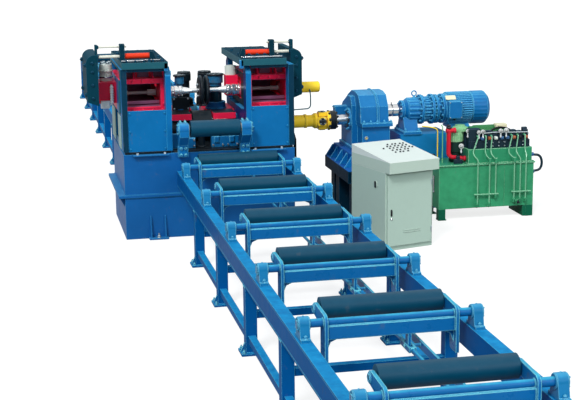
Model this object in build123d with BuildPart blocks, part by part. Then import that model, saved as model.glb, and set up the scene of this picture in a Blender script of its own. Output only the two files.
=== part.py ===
from build123d import *
import math
import os

os.makedirs("parts", exist_ok=True)

# Beam straightening machine: two press towers on one base, a lifting roller table
# in front, a roller table behind, the drive, the power pack and the control console.
# Millimetres. X runs to the drive side, Y along the feed away from the table's open
# end, Z up from the floor. The origin is on the floor under the axis of the main roll.

# Clearances
run = 0.05
gap = 0.3
slide_gap = 0.2

# Base of the machine
base_x = 795.0
base_y = 560.0
base_top = 790.0
ledge_z = 390.0
ledge_t = 25.0
ledge_side = 60.0
ledge_front = 12.0

# Towers
tower_in = 345.0
tower_out = base_x
plate_t = 50.0
tower_top = 1570.0
plinth_t = 24.0
plinth_in = 12.0
panel_t = 14.0
panel_in = 6.0
panel_top = 1190.0
window_y = 430.0
window_z0 = 1140.0
window_z1 = 1540.0
slot_y = 140.0
slot_z0 = 870.0
way_z0 = 1110.0
way_w = 90.0
shoulder_y = 100.0
shoulder_z = 70.0

# Cap plates and the shift cylinders on them; both caps sit a little to the left
cap_t = 60.0
cap_over = 15.0
cap_left = (-785.0, -368.0)
cap_right = (305.0, 725.0)
shift_y = -360.0
shift_z = tower_top + cap_t + 40.0
shift_r = 26.0
shift_rod_r = 14.0
shift_len = 227.0
shift_out_left = 738.0
shift_out_right = 601.0
shift_travel = 60.0
bracket_t = 46.0
guide_rod_z = shift_z + 88.0
guide_rod_r = 9.0

# Carriage that slides sideways through a tower
car_x0 = 380.0
car_x1 = base_x + 7.0
car_y = 420.0
car_z0 = window_z0 + 10.0
car_z1 = 1462.0
car_wall = 45.0
car_floor = 56.0
car_roof = 42.0
car_back = 30.0
rib_t = 14.0
rib_h = 72.0
rib_y = -290.0
slot_half = 92.0
ram_z0 = 1205.0
ram_z1 = 1400.0
ram_low = 50.0
left_ext = 182.0
ext_y = 150.0
ext_low = 1215.0
ext_high = 1410.0
shelf_x = 262.0
shelf_y0 = 70.0
shelf_y1 = 190.0

# Spindle and pressing wheel
spin_z = 1285.0
spin_r = 30.0
nose_r = 16.0
neck_r = 22.0
wheel_r = 142.0
wheel_t = 40.0
web_x = 30.0
web_gap = 14.0
tip_right = web_x + web_gap / 2
tip_left = web_gap / 2 - web_x
stack_right = 265.0
stack_left = 180.0

# Yoke plate on the outer end of each carriage
yoke_t = 106.0
yoke_round = 75.0
yoke_y0 = -400.0
yoke_y1 = 200.0
yoke_z0 = 1225.0
yoke_z1 = 1690.0
post_t = 22.0
post_top = guide_rod_z + 22.0
barrel_r = 60.0
barrel_x = 887.0
barrel_z1 = 1498.0
barrel_cap_z = 1566.0
end_cyl_x1 = 1165.0
end_cyl_r = 53.0
end_cyl_z = 1278.0

# Upright guide rollers, as (x, radius), and the arms under them
guide_near_y = 200.0
guide_far_y = 450.0
near_left = (-172.0, 45.0)
near_right = (178.0, 75.0)
far_left = (-93.0, 68.0)
far_right = (110.0, 68.0)
guide_pin_r = 15.0
guide_cap = 72.0
guide_step = 14.0
guide_arm_z0 = 1020.0
guide_arm_z1 = 1078.0
guide_top = 1402.0

# Main roll and its drive line
roll_z = 945.0
roll_r = 149.0
roll_half = 95.0
roll_hub_r = 60.0
roll_hub = 30.0
shaft_r = 55.0
hub_r = 105.0
shaft_left = -430.0
coupling_x = 850.0
joint_x = 1185.0
tube_r = 62.0
fork_r = 84.0
flange_x = 1262.0
flange_r = 92.0
out_shaft_r = 52.0

# Gear reducer
case_x0 = 1505.0
case_x1 = 1795.0
arch_x1 = 1783.0
case_half = 300.0
arch_top = 1227.0
case_foot_z = 660.0
case_split_t = 34.0
cover_x = 1448.0
input_z = 1015.0
input_r = 30.0

# Cycloid reducer and motor
cyc_x0 = 1985.0
cyc_x1 = 2420.0
motor_x1 = 2875.0
motor_r = 160.0
cyc_r = 113.0
cyc_foot_z = 790.0

# Pedestal of the drive
ped_x0 = 1305.0
ped_x1 = 1990.0
ped_y0 = -590.0
ped_y1 = 350.0
ped_z0 = 425.0
ped_z1 = 540.0
ped_leg = 130.0
block_in = 90.0
ext_x1 = 2440.0
ext_y0 = -150.0

# Console, turned about its upright axis
con_x = 1545.0
con_y = -1235.0
con_turn = 15.5
con_w = 490.0
con_d = 600.0
con_h = 705.0
con_wall = 12.0
lid_front = 100.0
lid_back = 175.0
lid_over = 60.0

# Power pack
tank_x0 = 2215.0
tank_x1 = 3180.0
tank_y0 = -550.0
tank_y1 = -170.0
tank_z0 = 110.0
tank_z1 = 530.0
tank_wall = 6.0
deck_z = 680.0

# Roller tables
pitch = 1200.0
bays = 6
table_x = 235.0
rail_w = 80.0
rail_h = 145.0
rail_top = 620.0
rail_web = 10.0
rail_flange = 12.0
first_y = -890.0
pivot_z = 710.0
leg_w = 80.0
leg_y = 740.0
foot_w = 150.0
foot_t = 16.0
tie_z = 275.0
brace_z = 110.0
brace_w = 50.0
end_reach = 420.0
table_end = first_y - pitch * (bays - 1) - end_reach

# Roller and rocker of one lifting station
table_roll_r = 65.0
table_roll_len = 726.0
axle_r = 17.0
roll_clear = 9.0
stub_r = 25.0
arm_x = table_roll_len / 2 + roll_clear
arm_t = 20.0
arm_len = 212.0
arm_rise = 18.0
arm_drop = 225.0
arm_foot = 110.0
tube_rad = 21.0
beam_w = 60.0
beam_z0 = 615.0
beam_z1 = 692.0
gusset = 75.0
gusset_t = 12.0
rail_x = arm_x + 134.0
pillow_t = 58.0
stub_end = rail_x + pillow_t / 2 + 10.0

# Lever in the middle of each rocker, and the link that joins the levers
lever_x = 95.0
lever_len = 175.0
lever_t = 20.0
link_pin_r = 10.0
link_r = 11.0
link_cheek = 10.0
link_gap = 2.0
link_bar_x = 175.0

# Rear table
rear_x = -50.0
rear_bays = 7
rear_first_leg = 940.0
rear_end = 9400.0

# Entry roller on the front edge of the base
entry_y = -660.0
entry_z = 1022.0
entry_r = 75.0
entry_pin_r = 20.0
entry_len = 450.0
post_x = 287.0
post_w = 88.0
post_z0 = 755.0
post_shift = 34.0


def slab(x0, x1, y0, y1, z0, z1, mode=Mode.ADD):
    """Upright block between two corners, drawn as a rectangle and extruded up."""
    with BuildSketch(Plane.XY.offset(z0)) as shape:
        with Locations(((x0 + x1) / 2, (y0 + y1) / 2)):
            Rectangle(abs(x1 - x0), abs(y1 - y0))
    extrude(shape.sketch, amount=z1 - z0, mode=mode)


def bar_x(x0, x1, y, z, r, mode=Mode.ADD):
    """Round bar or hole along X."""
    with BuildSketch(Plane.YZ.offset(x0)) as shape:
        with Locations((y, z)):
            Circle(r)
    extrude(shape.sketch, amount=x1 - x0, mode=mode)


def bar_y(y0, y1, x, z, r, mode=Mode.ADD):
    """Round bar or hole along Y."""
    with BuildSketch(Plane.XZ.offset(-y0)) as shape:
        with Locations((x, z)):
            Circle(r)
    extrude(shape.sketch, amount=y0 - y1, mode=mode)


def side_plate(x0, x1, pts, mode=Mode.ADD):
    """Plate with a (y, z) outline, from x0 to x1."""
    with BuildSketch(Plane.YZ.offset(x0)) as shape:
        with BuildLine():
            Polyline(*pts, close=True)
        make_face()
    extrude(shape.sketch, amount=x1 - x0, mode=mode)


def front_plate(y0, y1, pts, mode=Mode.ADD):
    """Plate with an (x, z) outline, from y0 to y1."""
    with BuildSketch(Plane.XZ.offset(-y0)) as shape:
        with BuildLine():
            Polyline(*pts, close=True)
        make_face()
    extrude(shape.sketch, amount=y0 - y1, mode=mode)


def bar_z(z0, z1, x, y, r, mode=Mode.ADD):
    """Round bar or hole along Z."""
    with BuildSketch(Plane.XY.offset(z0)) as shape:
        with Locations((x, y)):
            Circle(r)
    extrude(shape.sketch, amount=z1 - z0, mode=mode)


def turned_x(steps, y, z, mode=Mode.ADD):
    """Body turned about a line along X, from (x, radius) corners."""
    pts = [(steps[0][0], 0)] + list(steps) + [(steps[-1][0], 0)]
    with BuildSketch(Plane(origin=(0, y, z), x_dir=(1, 0, 0), z_dir=(0, -1, 0))) as shape:
        with BuildLine():
            Polyline(*pts, close=True)
        make_face()
    revolve(shape.sketch, axis=Axis((0, y, z), (1, 0, 0)), mode=mode)


def turned_z(steps, x, y, mode=Mode.ADD):
    """Body turned about an upright line, from (radius, z) corners."""
    pts = [(0, steps[0][1])] + list(steps) + [(0, steps[-1][1])]
    with BuildSketch(Plane(origin=(x, y, 0), x_dir=(1, 0, 0), z_dir=(0, -1, 0))) as shape:
        with BuildLine():
            Polyline(*pts, close=True)
        make_face()
    revolve(shape.sketch, axis=Axis((x, y, 0), (0, 0, 1)), mode=mode)


def save(part, name):
    """Label a finished part and write its file."""
    part.label = name
    export_step(part, "parts/" + name + ".step")


# Base: lower housing, ledge plate and upper housing.
with BuildPart() as base:
    slab(-base_x, base_x, -base_y, base_y, 0, ledge_z)
    slab(-base_x - ledge_side, base_x + ledge_side, -base_y - ledge_front, base_y + ledge_front,
         ledge_z, ledge_z + ledge_t)
    slab(-base_x, base_x, -base_y, base_y, ledge_z + ledge_t, base_top)
save(base.part, "base")

# Towers: two side plates each, front and back panels, plinth, slide ways and the
# bearing bosses of the main shaft. The right one is drawn and mirrored.
with BuildPart() as towers:
    slab(tower_in + plinth_in, tower_out - plinth_in, -base_y + plinth_in, base_y - plinth_in,
         base_top, base_top + plinth_t)
    side_plate(tower_in, tower_in + plate_t,
               [(-base_y, base_top + plinth_t), (base_y, base_top + plinth_t),
                (base_y, tower_top - shoulder_z), (base_y - shoulder_y, tower_top),
                (shoulder_y - base_y, tower_top), (-base_y, tower_top - shoulder_z)])
    slab(tower_out - plate_t, tower_out, -base_y, base_y, base_top + plinth_t, tower_top)
    for side in (-1, 1):
        y_out = side * (base_y - panel_in)
        y_in = side * (base_y - panel_in - panel_t)
        slab(tower_in + plate_t, tower_out - plate_t, min(y_out, y_in), max(y_out, y_in),
             base_top + plinth_t, panel_top)
        w_in = side * (window_y - way_w)
        slab(tower_in + plate_t, tower_out - plate_t, min(y_in, w_in), max(y_in, w_in),
             way_z0, window_z0)
    slab(tower_in - 1, tower_out + 1, -window_y, window_y, window_z0, window_z1, mode=Mode.SUBTRACT)
    slab(tower_out - plate_t - 1, tower_out + 1, -slot_y, slot_y, slot_z0, window_z0,
         mode=Mode.SUBTRACT)
    for side in (-1, 1):
        w_out = side * window_y
        w_in = side * (window_y - way_w)
        slab(tower_in, tower_out, min(w_out, w_in), max(w_out, w_in), window_z0,
             car_z0 - slide_gap)
    bar_x(tower_in - 20, tower_in + plate_t + 20, 0, roll_z, hub_r)
    bar_x(tower_in - 21, tower_in + plate_t + 21, 0, roll_z, shaft_r + run, mode=Mode.SUBTRACT)
    mirror(about=Plane.YZ)
save(towers.part, "towers")

# Cap plates with the brackets of the shift cylinders: a tall one where the rods
# come out, a low sloping one at the closed end.
with BuildPart() as caps:
    cap_z = tower_top + cap_t
    for side, cap, out in ((-1, cap_left, shift_out_left), (1, cap_right, shift_out_right)):
        slab(cap[0], cap[1], -base_y - cap_over, base_y + cap_over, tower_top, cap_z)
        x_out = side * out
        x_in = side * (out - shift_len)
        x_far = x_out + side * bracket_t
        slab(min(x_out, x_far), max(x_out, x_far), shift_y - 42, shift_y + 42, cap_z,
             guide_rod_z + 24)
        front_plate(shift_y - 36, shift_y + 36,
                    [(x_in, cap_z), (x_in, shift_z + 40), (x_in - side * 32, shift_z + 40),
                     (x_in - side * 62, cap_z)])
        bar_x(min(x_out, x_far) - 1, max(x_out, x_far) + 1, shift_y, shift_z, shift_rod_r + run,
              mode=Mode.SUBTRACT)
        bar_x(min(x_out, x_far) - 1, max(x_out, x_far) + 1, shift_y, guide_rod_z,
              guide_rod_r + run, mode=Mode.SUBTRACT)
save(caps.part, "caps")

# Shift cylinders, bored for their rods.
with BuildPart() as shift_cylinders:
    for side, out in ((-1, shift_out_left), (1, shift_out_right)):
        ends = sorted((side * out, side * (out - shift_len)))
        bore = sorted((side * (out + 1), side * (out - shift_len + 20)))
        bar_x(ends[0], ends[1], shift_y, shift_z, shift_r)
        bar_x(bore[0], bore[1], shift_y, shift_z, shift_rod_r + run, mode=Mode.SUBTRACT)
save(shift_cylinders.part, "shift_cylinders")


def carriage(side, ext):
    """Red sliding box of one tower, open at the front, slotted for the spindle blocks."""
    with BuildPart() as body:
        slab(car_x0, car_x1, -car_y, car_y, car_z0, car_z1)
        slab(car_x0 + car_wall, car_x1 - car_wall, -car_y - 1, car_y - car_back,
             car_z0 + car_floor, car_z1 - car_roof, mode=Mode.SUBTRACT)
        slab(car_x0 - 1, car_x1 + 1, -slot_half, slot_half, ram_z0, ram_z1, mode=Mode.SUBTRACT)
        slab(car_x0 + 2, car_x1 - car_wall, rib_y, rib_y + rib_t, car_z1, car_z1 + rib_h)
        for x in (car_x0 + 2, 482, 655, car_x1 - car_wall - rib_t):
            side_plate(x, x + rib_t, [(4 - car_y, car_z1), (rib_y, car_z1), (rib_y, car_z1 + rib_h),
                                      (rib_y - 40, car_z1 + rib_h)])
        if ext > 0:
            slab(car_x1, car_x1 + ext, -ext_y, ext_y, ext_low, ext_high)
        else:
            slab(shelf_x, car_x0, shelf_y0, shelf_y1, ext_low, ext_high)
        if side < 0:
            mirror(about=Plane.YZ, mode=Mode.REPLACE)
    return body.part


def yoke(side, ext, out):
    """Round-topped end plate of a carriage with its post, shift rod and guide rod."""
    x0 = car_x1 + ext
    x1 = x0 + yoke_t
    with BuildPart() as body:
        with BuildSketch(Plane.XZ.offset(-yoke_y0)):
            with BuildLine():
                Polyline((x0, yoke_z0), (x1, yoke_z0 + 40), (x1, yoke_z1 - yoke_round))
                RadiusArc((x1, yoke_z1 - yoke_round), (x1 - yoke_round, yoke_z1), -yoke_round)
                Line((x1 - yoke_round, yoke_z1), (x0, yoke_z1))
                Line((x0, yoke_z1), (x0, yoke_z0))
            make_face()
        extrude(amount=yoke_y0 - yoke_y1)
        slab(x0, x0 + post_t, shift_y - 36, shift_y + 36, yoke_z1, post_top)
        bar_x(out - 2 * shift_travel, x0 + post_t, shift_y, shift_z, shift_rod_r)
        bar_x(out - shift_travel / 3, x0 + post_t, shift_y, guide_rod_z, guide_rod_r)
        if side < 0:
            mirror(about=Plane.YZ, mode=Mode.REPLACE)
    return body.part


def spindle(side, tip, stack):
    """Stepped spindle with the two bearing blocks that slide in the carriage slots."""
    root = tip + wheel_t + gap
    thick = car_x0 + 125
    thin = car_x1 - 120
    with BuildPart() as body:
        turned_x([(tip, nose_r), (root, nose_r), (root, neck_r), (stack - 95, neck_r),
                  (stack - 22, 38), (stack, 38), (stack, 50), (stack + 26, 50), (stack + 26, 40),
                  (stack + 38, 40), (stack + 38, 52), (stack + 70, 52), (stack + 70, 44),
                  (car_x0 - 14, 44), (car_x0 - 14, 52), (car_x0, 52), (car_x0, spin_r),
                  (thick, spin_r), (thick, nose_r), (thin, nose_r), (thin, neck_r),
                  (car_x1 - 10, neck_r)], 0, spin_z)
        for x0 in (car_x0, car_x1 - car_wall):
            slab(x0, x0 + car_wall, -slot_half + slide_gap, slot_half - slide_gap,
                 spin_z - ram_low, spin_z + ram_low)
        if side < 0:
            mirror(about=Plane.YZ, mode=Mode.REPLACE)
    return body.part


def press_wheel(side, tip):
    """Pressing disc with a bevelled rim, bored to turn on the spindle's nose."""
    with BuildPart() as body:
        turned_x([(tip, 96), (tip + 5, wheel_r - 14), (tip + 13, wheel_r),
                  (tip + wheel_t - 12, wheel_r), (tip + wheel_t, wheel_r - 16)], 0, spin_z)
        bar_x(tip - 1, tip + wheel_t + 1, 0, spin_z, nose_r + run, mode=Mode.SUBTRACT)
        if side < 0:
            mirror(about=Plane.YZ, mode=Mode.REPLACE)
    return body.part


save(carriage(1, 0), "carriage_right")
save(carriage(-1, left_ext), "carriage_left")
save(yoke(1, 0, shift_out_right), "yoke_right")
save(yoke(-1, left_ext, shift_out_left), "yoke_left")
save(spindle(1, tip_right, stack_right), "spindle_right")
save(spindle(-1, tip_left, stack_left), "spindle_left")
save(press_wheel(1, tip_right), "press_wheel_right")
save(press_wheel(-1, tip_left), "press_wheel_left")

# Upright press cylinder on the left carriage, with its wider ring and cap.
with BuildPart() as press_cylinder:
    turned_z([(barrel_r, ext_high), (barrel_r, barrel_z1), (barrel_r + 8, barrel_z1),
              (barrel_r + 8, barrel_z1 + 14), (barrel_r, barrel_z1 + 14),
              (barrel_r, barrel_cap_z)], -barrel_x, 0)
save(press_cylinder.part, "press_cylinder")

# Short press cylinder on the inner shelf of the right carriage.
with BuildPart() as inner_cylinder:
    turned_z([(barrel_r - 4, ext_high), (barrel_r - 4, barrel_z1)], (shelf_x + car_x0) / 2 - 3,
             (shelf_y0 + shelf_y1) / 2)
save(inner_cylinder.part, "inner_cylinder")

# Yellow cylinder on the right yoke.
with BuildPart() as end_cylinder:
    ex = car_x1 + yoke_t
    turned_x([(ex, 58), (ex + 37, 58), (ex + 37, 71), (ex + 60, 71), (ex + 60, end_cyl_r),
              (end_cyl_x1 - 10, end_cyl_r), (end_cyl_x1, end_cyl_r - 8)], 0, end_cyl_z)
save(end_cylinder.part, "end_cylinder")

# Red arms beside and behind the main roll, with the pins of the upright rollers.
with BuildPart() as guide_arms:
    arm_out = tower_in - 25
    slab(roll_half + 10, arm_out, -120, 150, guide_arm_z0, guide_arm_z1)
    slab(roll_half + 10, tower_in, 115, guide_far_y + 80, guide_arm_z0, guide_arm_z1)
    slab(60, roll_half + 11, 160, guide_far_y + 80, guide_arm_z0, guide_arm_z1)
    mirror(about=Plane.YZ)
    for spot, y in ((near_left, guide_near_y), (near_right, guide_near_y),
                    (far_left, guide_far_y), (far_right, guide_far_y)):
        bar_z(guide_arm_z1, guide_top - 30, spot[0], y, guide_pin_r)
save(guide_arms.part, "guide_arms")


def guide_roller(spot, y):
    """Upright guide roller with a wider cap, bored from below for its pin."""
    z0 = guide_arm_z1 + gap
    x, r = spot
    low = r - guide_step
    with BuildPart() as body:
        turned_z([(low - 6, z0), (low, z0 + 6), (low, guide_top - guide_cap),
                  (r, guide_top - guide_cap), (r, guide_top - 5), (r - 5, guide_top)], x, y)
        bar_z(z0 - 1, guide_top - 28, x, y, guide_pin_r + run, mode=Mode.SUBTRACT)
    return body.part


save(guide_roller(near_left, guide_near_y), "guide_roller_front_left")
save(guide_roller(near_right, guide_near_y), "guide_roller_front_right")
save(guide_roller(far_left, guide_far_y), "guide_roller_rear_left")
save(guide_roller(far_right, guide_far_y), "guide_roller_rear_right")

# Main roll on its shaft.
with BuildPart() as main_roll:
    turned_x([(shaft_left, shaft_r), (-roll_half - roll_hub, shaft_r),
              (-roll_half - roll_hub, roll_hub_r), (-roll_half, roll_hub_r),
              (-roll_half, roll_r - 8), (-roll_half + 8, roll_r), (roll_half - 8, roll_r),
              (roll_half, roll_r - 8), (roll_half, roll_hub_r), (roll_half + roll_hub, roll_hub_r),
              (roll_half + roll_hub, shaft_r), (coupling_x, shaft_r)], 0, roll_z)
save(main_roll.part, "main_roll")


# Cardan shaft with one universal joint and the output coupling.
with BuildPart() as cardan_shaft:
    turned_x([(coupling_x, 82), (coupling_x + 24, 82), (coupling_x + 24, tube_r),
              (joint_x - 170, tube_r), (joint_x - 170, tube_r + 6), (joint_x - 150, tube_r + 6),
              (joint_x - 150, tube_r - 3), (joint_x - 95, tube_r - 3), (joint_x - 70, tube_r + 14),
              (joint_x - 48, tube_r + 14)], 0, roll_z)
    for side in (-1, 1):
        slab(joint_x - 50, joint_x + 34, side * 44, side * fork_r, roll_z - 40, roll_z + 40)
        slab(joint_x - 34, joint_x + 50, -40, 40, roll_z + side * 44, roll_z + side * fork_r)
    slab(joint_x - 22, joint_x + 22, -45, 45, roll_z - 22, roll_z + 22)
    slab(joint_x - 22, joint_x + 22, -22, 22, roll_z - 45, roll_z + 45)
    turned_x([(joint_x + 48, fork_r), (flange_x, fork_r), (flange_x, flange_r),
              (flange_x + 62, flange_r), (flange_x + 62, out_shaft_r), (cover_x + 30, out_shaft_r)],
             0, roll_z)
save(cardan_shaft.part, "cardan_shaft")

# Gear reducer: upper case folded from flat plates with a middle rib and a raised face
# on the output side, split flange, lower case on its foot, bearing covers and oil box.
with BuildPart() as gear_reducer:
    near_arch = [(-case_half, roll_z), (18 - case_half, roll_z + 155), (100 - case_half, roll_z + 258),
                 (210 - case_half, arch_top)]
    far_arch = [(case_half - 250, arch_top), (case_half - 90, roll_z + 218),
                (case_half - 15, roll_z + 130), (case_half, roll_z)]
    arch = near_arch + far_arch
    side_plate(case_x0, arch_x1, arch)
    side_plate(cover_x + 14, case_x0 + 16,
               [(-120, case_foot_z + 30), (-120, roll_z + 150), (-60, roll_z + 232),
                (50, roll_z + 232), (250, roll_z + 138), (case_half - 5, roll_z + 80),
                (case_half - 5, case_foot_z + 30)])
    rib = [(y * 1.04, roll_z + (z - roll_z) * 1.035) for y, z in arch]
    mid_x = (case_x0 + 70 + arch_x1) / 2
    side_plate(mid_x - 9, mid_x + 9, rib)
    slab(case_x0 + 15, case_x1, -case_half, case_half, case_foot_z, roll_z)
    slab(case_x0 + 5, case_x1 + 20, -case_half - 35, case_half + 35, roll_z - case_split_t, roll_z)
    slab(cover_x, case_x1 + 30, -case_half - 30, case_half + 30, case_foot_z, case_foot_z + 36)
    bar_x(cover_x, case_x0 + 16, 0, roll_z, 112)
    bar_x(arch_x1 - 1, case_x1 + 22, 0, input_z, 84)
    slab(cover_x - 108, case_x0 + 1, 60, 150, roll_z + 40, roll_z + 125)
    bar_x(cover_x - 1, cover_x + 60, 0, roll_z, out_shaft_r + run, mode=Mode.SUBTRACT)
    bar_x(case_x1 - 20, case_x1 + 23, 0, input_z, input_r + run, mode=Mode.SUBTRACT)
save(gear_reducer.part, "gear_reducer")

# Input coupling between the two gear units.
with BuildPart() as input_coupling:
    turned_x([(case_x1 - 10, input_r), (case_x1 + 40, input_r), (case_x1 + 40, 60),
              (case_x1 + 94, 60), (case_x1 + 94, 45), (case_x1 + 106, 45), (case_x1 + 106, 60),
              (case_x1 + 160, 60), (case_x1 + 160, input_r), (cyc_x0 + 30, input_r)], 0, input_z)
save(input_coupling.part, "input_coupling")

# Cycloid reducer on its foot: end flange, cone, barrel and three pairs of flanges.
with BuildPart() as cycloid_reducer:
    steps = [(cyc_x0, 96), (cyc_x0 + 26, 96), (cyc_x0 + 26, 84), (cyc_x0 + 60, cyc_r)]
    for start, height in ((190, 34), (300, 36), (345, 30)):
        steps += [(cyc_x0 + start, cyc_r), (cyc_x0 + start, cyc_r + height),
                  (cyc_x0 + start + 24, cyc_r + height), (cyc_x0 + start + 24, cyc_r)]
    turned_x(steps + [(cyc_x1 - 26, cyc_r), (cyc_x1 - 26, cyc_r + 34), (cyc_x1, cyc_r + 34)],
             0, input_z)
    side_plate(cyc_x0 + 12, cyc_x0 + 150, [(-150, cyc_foot_z), (150, cyc_foot_z),
                                           (70, input_z - 60), (-70, input_z - 60)])
    slab(cyc_x0 - 8, cyc_x0 + 175, -165, 165, cyc_foot_z, cyc_foot_z + 30)
    bar_x(cyc_x0 - 1, cyc_x0 + 40, 0, input_z, input_r + run, mode=Mode.SUBTRACT)
save(cycloid_reducer.part, "cycloid_reducer")

# Drive motor carried by the reducer's flange.
with BuildPart() as drive_motor:
    fan_x = motor_x1 - 178
    turned_x([(cyc_x1, cyc_r + 34), (cyc_x1 + 22, cyc_r + 34), (cyc_x1 + 22, motor_r - 8),
              (fan_x, motor_r - 8), (fan_x, motor_r), (motor_x1 - 30, motor_r),
              (motor_x1, motor_r - 34)], 0, input_z)
    slab(cyc_x1 + 10, cyc_x1 + 140, -motor_r - 34, -90, input_z - 75, input_z + 90)
save(drive_motor.part, "drive_motor")

# Pedestal under the drive: beam frame, the block under the gear case, the raised end
# under the cycloid reducer, legs and foot plates.
with BuildPart() as pedestal:
    slab(ped_x0, ped_x1, ped_y0, ped_y1, ped_z0, ped_z1)
    slab(ped_x0 + block_in, ped_x1 - 60, ped_y0 + 170, ped_y1, ped_z1, case_foot_z)
    slab(cyc_x0 - 40, ext_x1, ext_y0, ped_y1 - 100, ped_z0, cyc_foot_z)
    for x in (ped_x0 + 60, ped_x1 - 60 - ped_leg):
        for y in (ped_y0 + 60, 0, ped_y1 - 20 - ped_leg):
            slab(x, x + ped_leg, y, y + ped_leg, 0, ped_z0)
            slab(x - 20, x + ped_leg + 20, y - 20, y + ped_leg + 20, 0, foot_t)
    slab(ext_x1 - 130, ext_x1 - 20, 40, 150, 0, ped_z0)
    slab(ext_x1 - 150, ext_x1, 20, 170, 0, foot_t)
save(pedestal.part, "pedestal")

# Console, drawn in its own turned plane.
turn = math.radians(con_turn)
con_plane = Plane(origin=(con_x, con_y, 0), x_dir=(math.cos(turn), math.sin(turn), 0), z_dir=(0, 0, 1))


def turned_slab(u0, u1, v0, v1, z0, z1, mode=Mode.ADD):
    """Block in the console's turned plane."""
    with BuildSketch(con_plane.offset(z0)) as shape:
        with Locations(((u0 + u1) / 2, (v0 + v1) / 2)):
            Rectangle(u1 - u0, v1 - v0)
    extrude(shape.sketch, amount=z1 - z0, mode=mode)


door_t = 15.0
face_v = -con_d / 2 + door_t
with BuildPart() as console_body:
    turned_slab(-con_w / 2, con_w / 2, face_v, con_d / 2, 0, con_h)
    turned_slab(-con_w / 2 + con_wall, con_w / 2 - con_wall, face_v + con_wall, con_d / 2 - con_wall,
                con_wall, con_h + 1, mode=Mode.SUBTRACT)
    turned_slab(-con_w / 2 + 40, con_w / 2 - 40, face_v - 1, face_v + con_wall + 1, 60, con_h - 45,
                mode=Mode.SUBTRACT)
save(console_body.part, "console_body")

with BuildPart() as console_lid:
    with BuildSketch(Plane(origin=con_plane.from_local_coords(Vector(-con_w / 2, 0, 0)),
                           x_dir=con_plane.y_dir, z_dir=con_plane.x_dir)):
        with BuildLine():
            Polyline((-con_d / 2 - lid_over, con_h), (con_d / 2, con_h),
                     (con_d / 2, con_h + lid_back), (-con_d / 2 - lid_over, con_h + lid_front),
                     close=True)
        make_face()
    extrude(amount=con_w + 20)
save(console_lid.part, "console_lid")

with BuildPart() as console_door:
    turned_slab(-con_w / 2 + 18, con_w / 2 - 18, face_v - gap - door_t, face_v - gap, 42, con_h - 22)
save(console_door.part, "console_door")

# Oil tank of the power pack: folded shell, end plates, legs and cover.
with BuildPart() as tank_shell:
    slab(tank_x0 + tank_wall, tank_x1 - tank_wall, tank_y0, tank_y1, tank_z0, tank_z1)
    slab(tank_x0, tank_x1, tank_y0 + tank_wall, tank_y1 - tank_wall, tank_z0 + tank_wall,
         tank_z1 + 1, mode=Mode.SUBTRACT)
save(tank_shell.part, "tank_shell")

with BuildPart() as tank_ends:
    slab(tank_x0, tank_x0 + tank_wall, tank_y0, tank_y1, tank_z0, tank_z1)
    slab(tank_x1 - tank_wall, tank_x1, tank_y0, tank_y1, tank_z0, tank_z1)
save(tank_ends.part, "tank_ends")

with BuildPart() as tank_legs:
    for x, dx in ((tank_x0, 1), (tank_x1, -1)):
        for y, dy in ((tank_y0, 1), (tank_y1, -1)):
            slab(min(x, x + dx * 70), max(x, x + dx * 70), min(y, y + dy * 10),
                 max(y, y + dy * 10), 0, tank_z0)
            slab(min(x, x + dx * 10), max(x, x + dx * 10), min(y, y + dy * 70),
                 max(y, y + dy * 70), 0, tank_z0)
            slab(min(x, x + dx * 80), max(x, x + dx * 80), min(y, y + dy * 80),
                 max(y, y + dy * 80), 0, 10)
save(tank_legs.part, "tank_legs")

with BuildPart() as tank_cover:
    slab(tank_x0 - 12, tank_x1 + 12, tank_y0 - 12, tank_y1 + 12, tank_z1, tank_z1 + 12)
    slab(tank_x0 + 305, tank_x1 - 10, tank_y0 + 30, tank_y1 - 15, tank_z1 + 12, deck_z)
save(tank_cover.part, "tank_cover")

with BuildPart() as valve_manifold:
    slab(tank_x0 + 335, tank_x1 - 25, tank_y0 + 60, tank_y0 + 150, deck_z, deck_z + 72)
    slab(tank_x0 + 345, tank_x1 - 35, tank_y0 + 75, tank_y0 + 135, deck_z + 72, deck_z + 130)
save(valve_manifold.part, "valve_manifold")

with BuildPart() as pump_units:
    turned_z([(58, tank_z1 + 12), (58, tank_z1 + 120), (76, tank_z1 + 120), (76, tank_z1 + 290),
              (60, tank_z1 + 306)], tank_x0 + 222, tank_y0 + 200)
    turned_x([(tank_x0 + 385, 60), (tank_x0 + 400, 76), (tank_x0 + 760, 76), (tank_x0 + 775, 60)],
             tank_y1 - 95, deck_z + 110)
    slab(tank_x0 + 430, tank_x0 + 730, tank_y1 - 160, tank_y1 - 30, deck_z, deck_z + 46)
save(pump_units.part, "pump_units")


def rails(cx, y0, y1):
    """Two channel rails of a roller table, open outwards."""
    for side in (-1, 1):
        line = cx + side * rail_x
        slab(line - rail_w / 2, line + rail_w / 2, y0, y1, rail_top - rail_h, rail_top)
        open0 = line - rail_w / 2 + rail_web if side > 0 else line - rail_w / 2 - 1
        open1 = line + rail_w / 2 + 1 if side > 0 else line + rail_w / 2 - rail_web
        slab(open0, open1, y0 - 1, y1 + 1, rail_top - rail_h + rail_flange,
             rail_top - rail_flange, mode=Mode.SUBTRACT)


def legs(cx, spots):
    """Square legs with foot plates under both rails."""
    for y in spots:
        for side in (-1, 1):
            line = cx + side * rail_x
            slab(line - leg_w / 2, line + leg_w / 2, y - leg_w / 2, y + leg_w / 2, 0,
                 rail_top - rail_h)
            slab(line - foot_w / 2, line + foot_w / 2, y - foot_w / 2, y + foot_w / 2, 0, foot_t)


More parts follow.
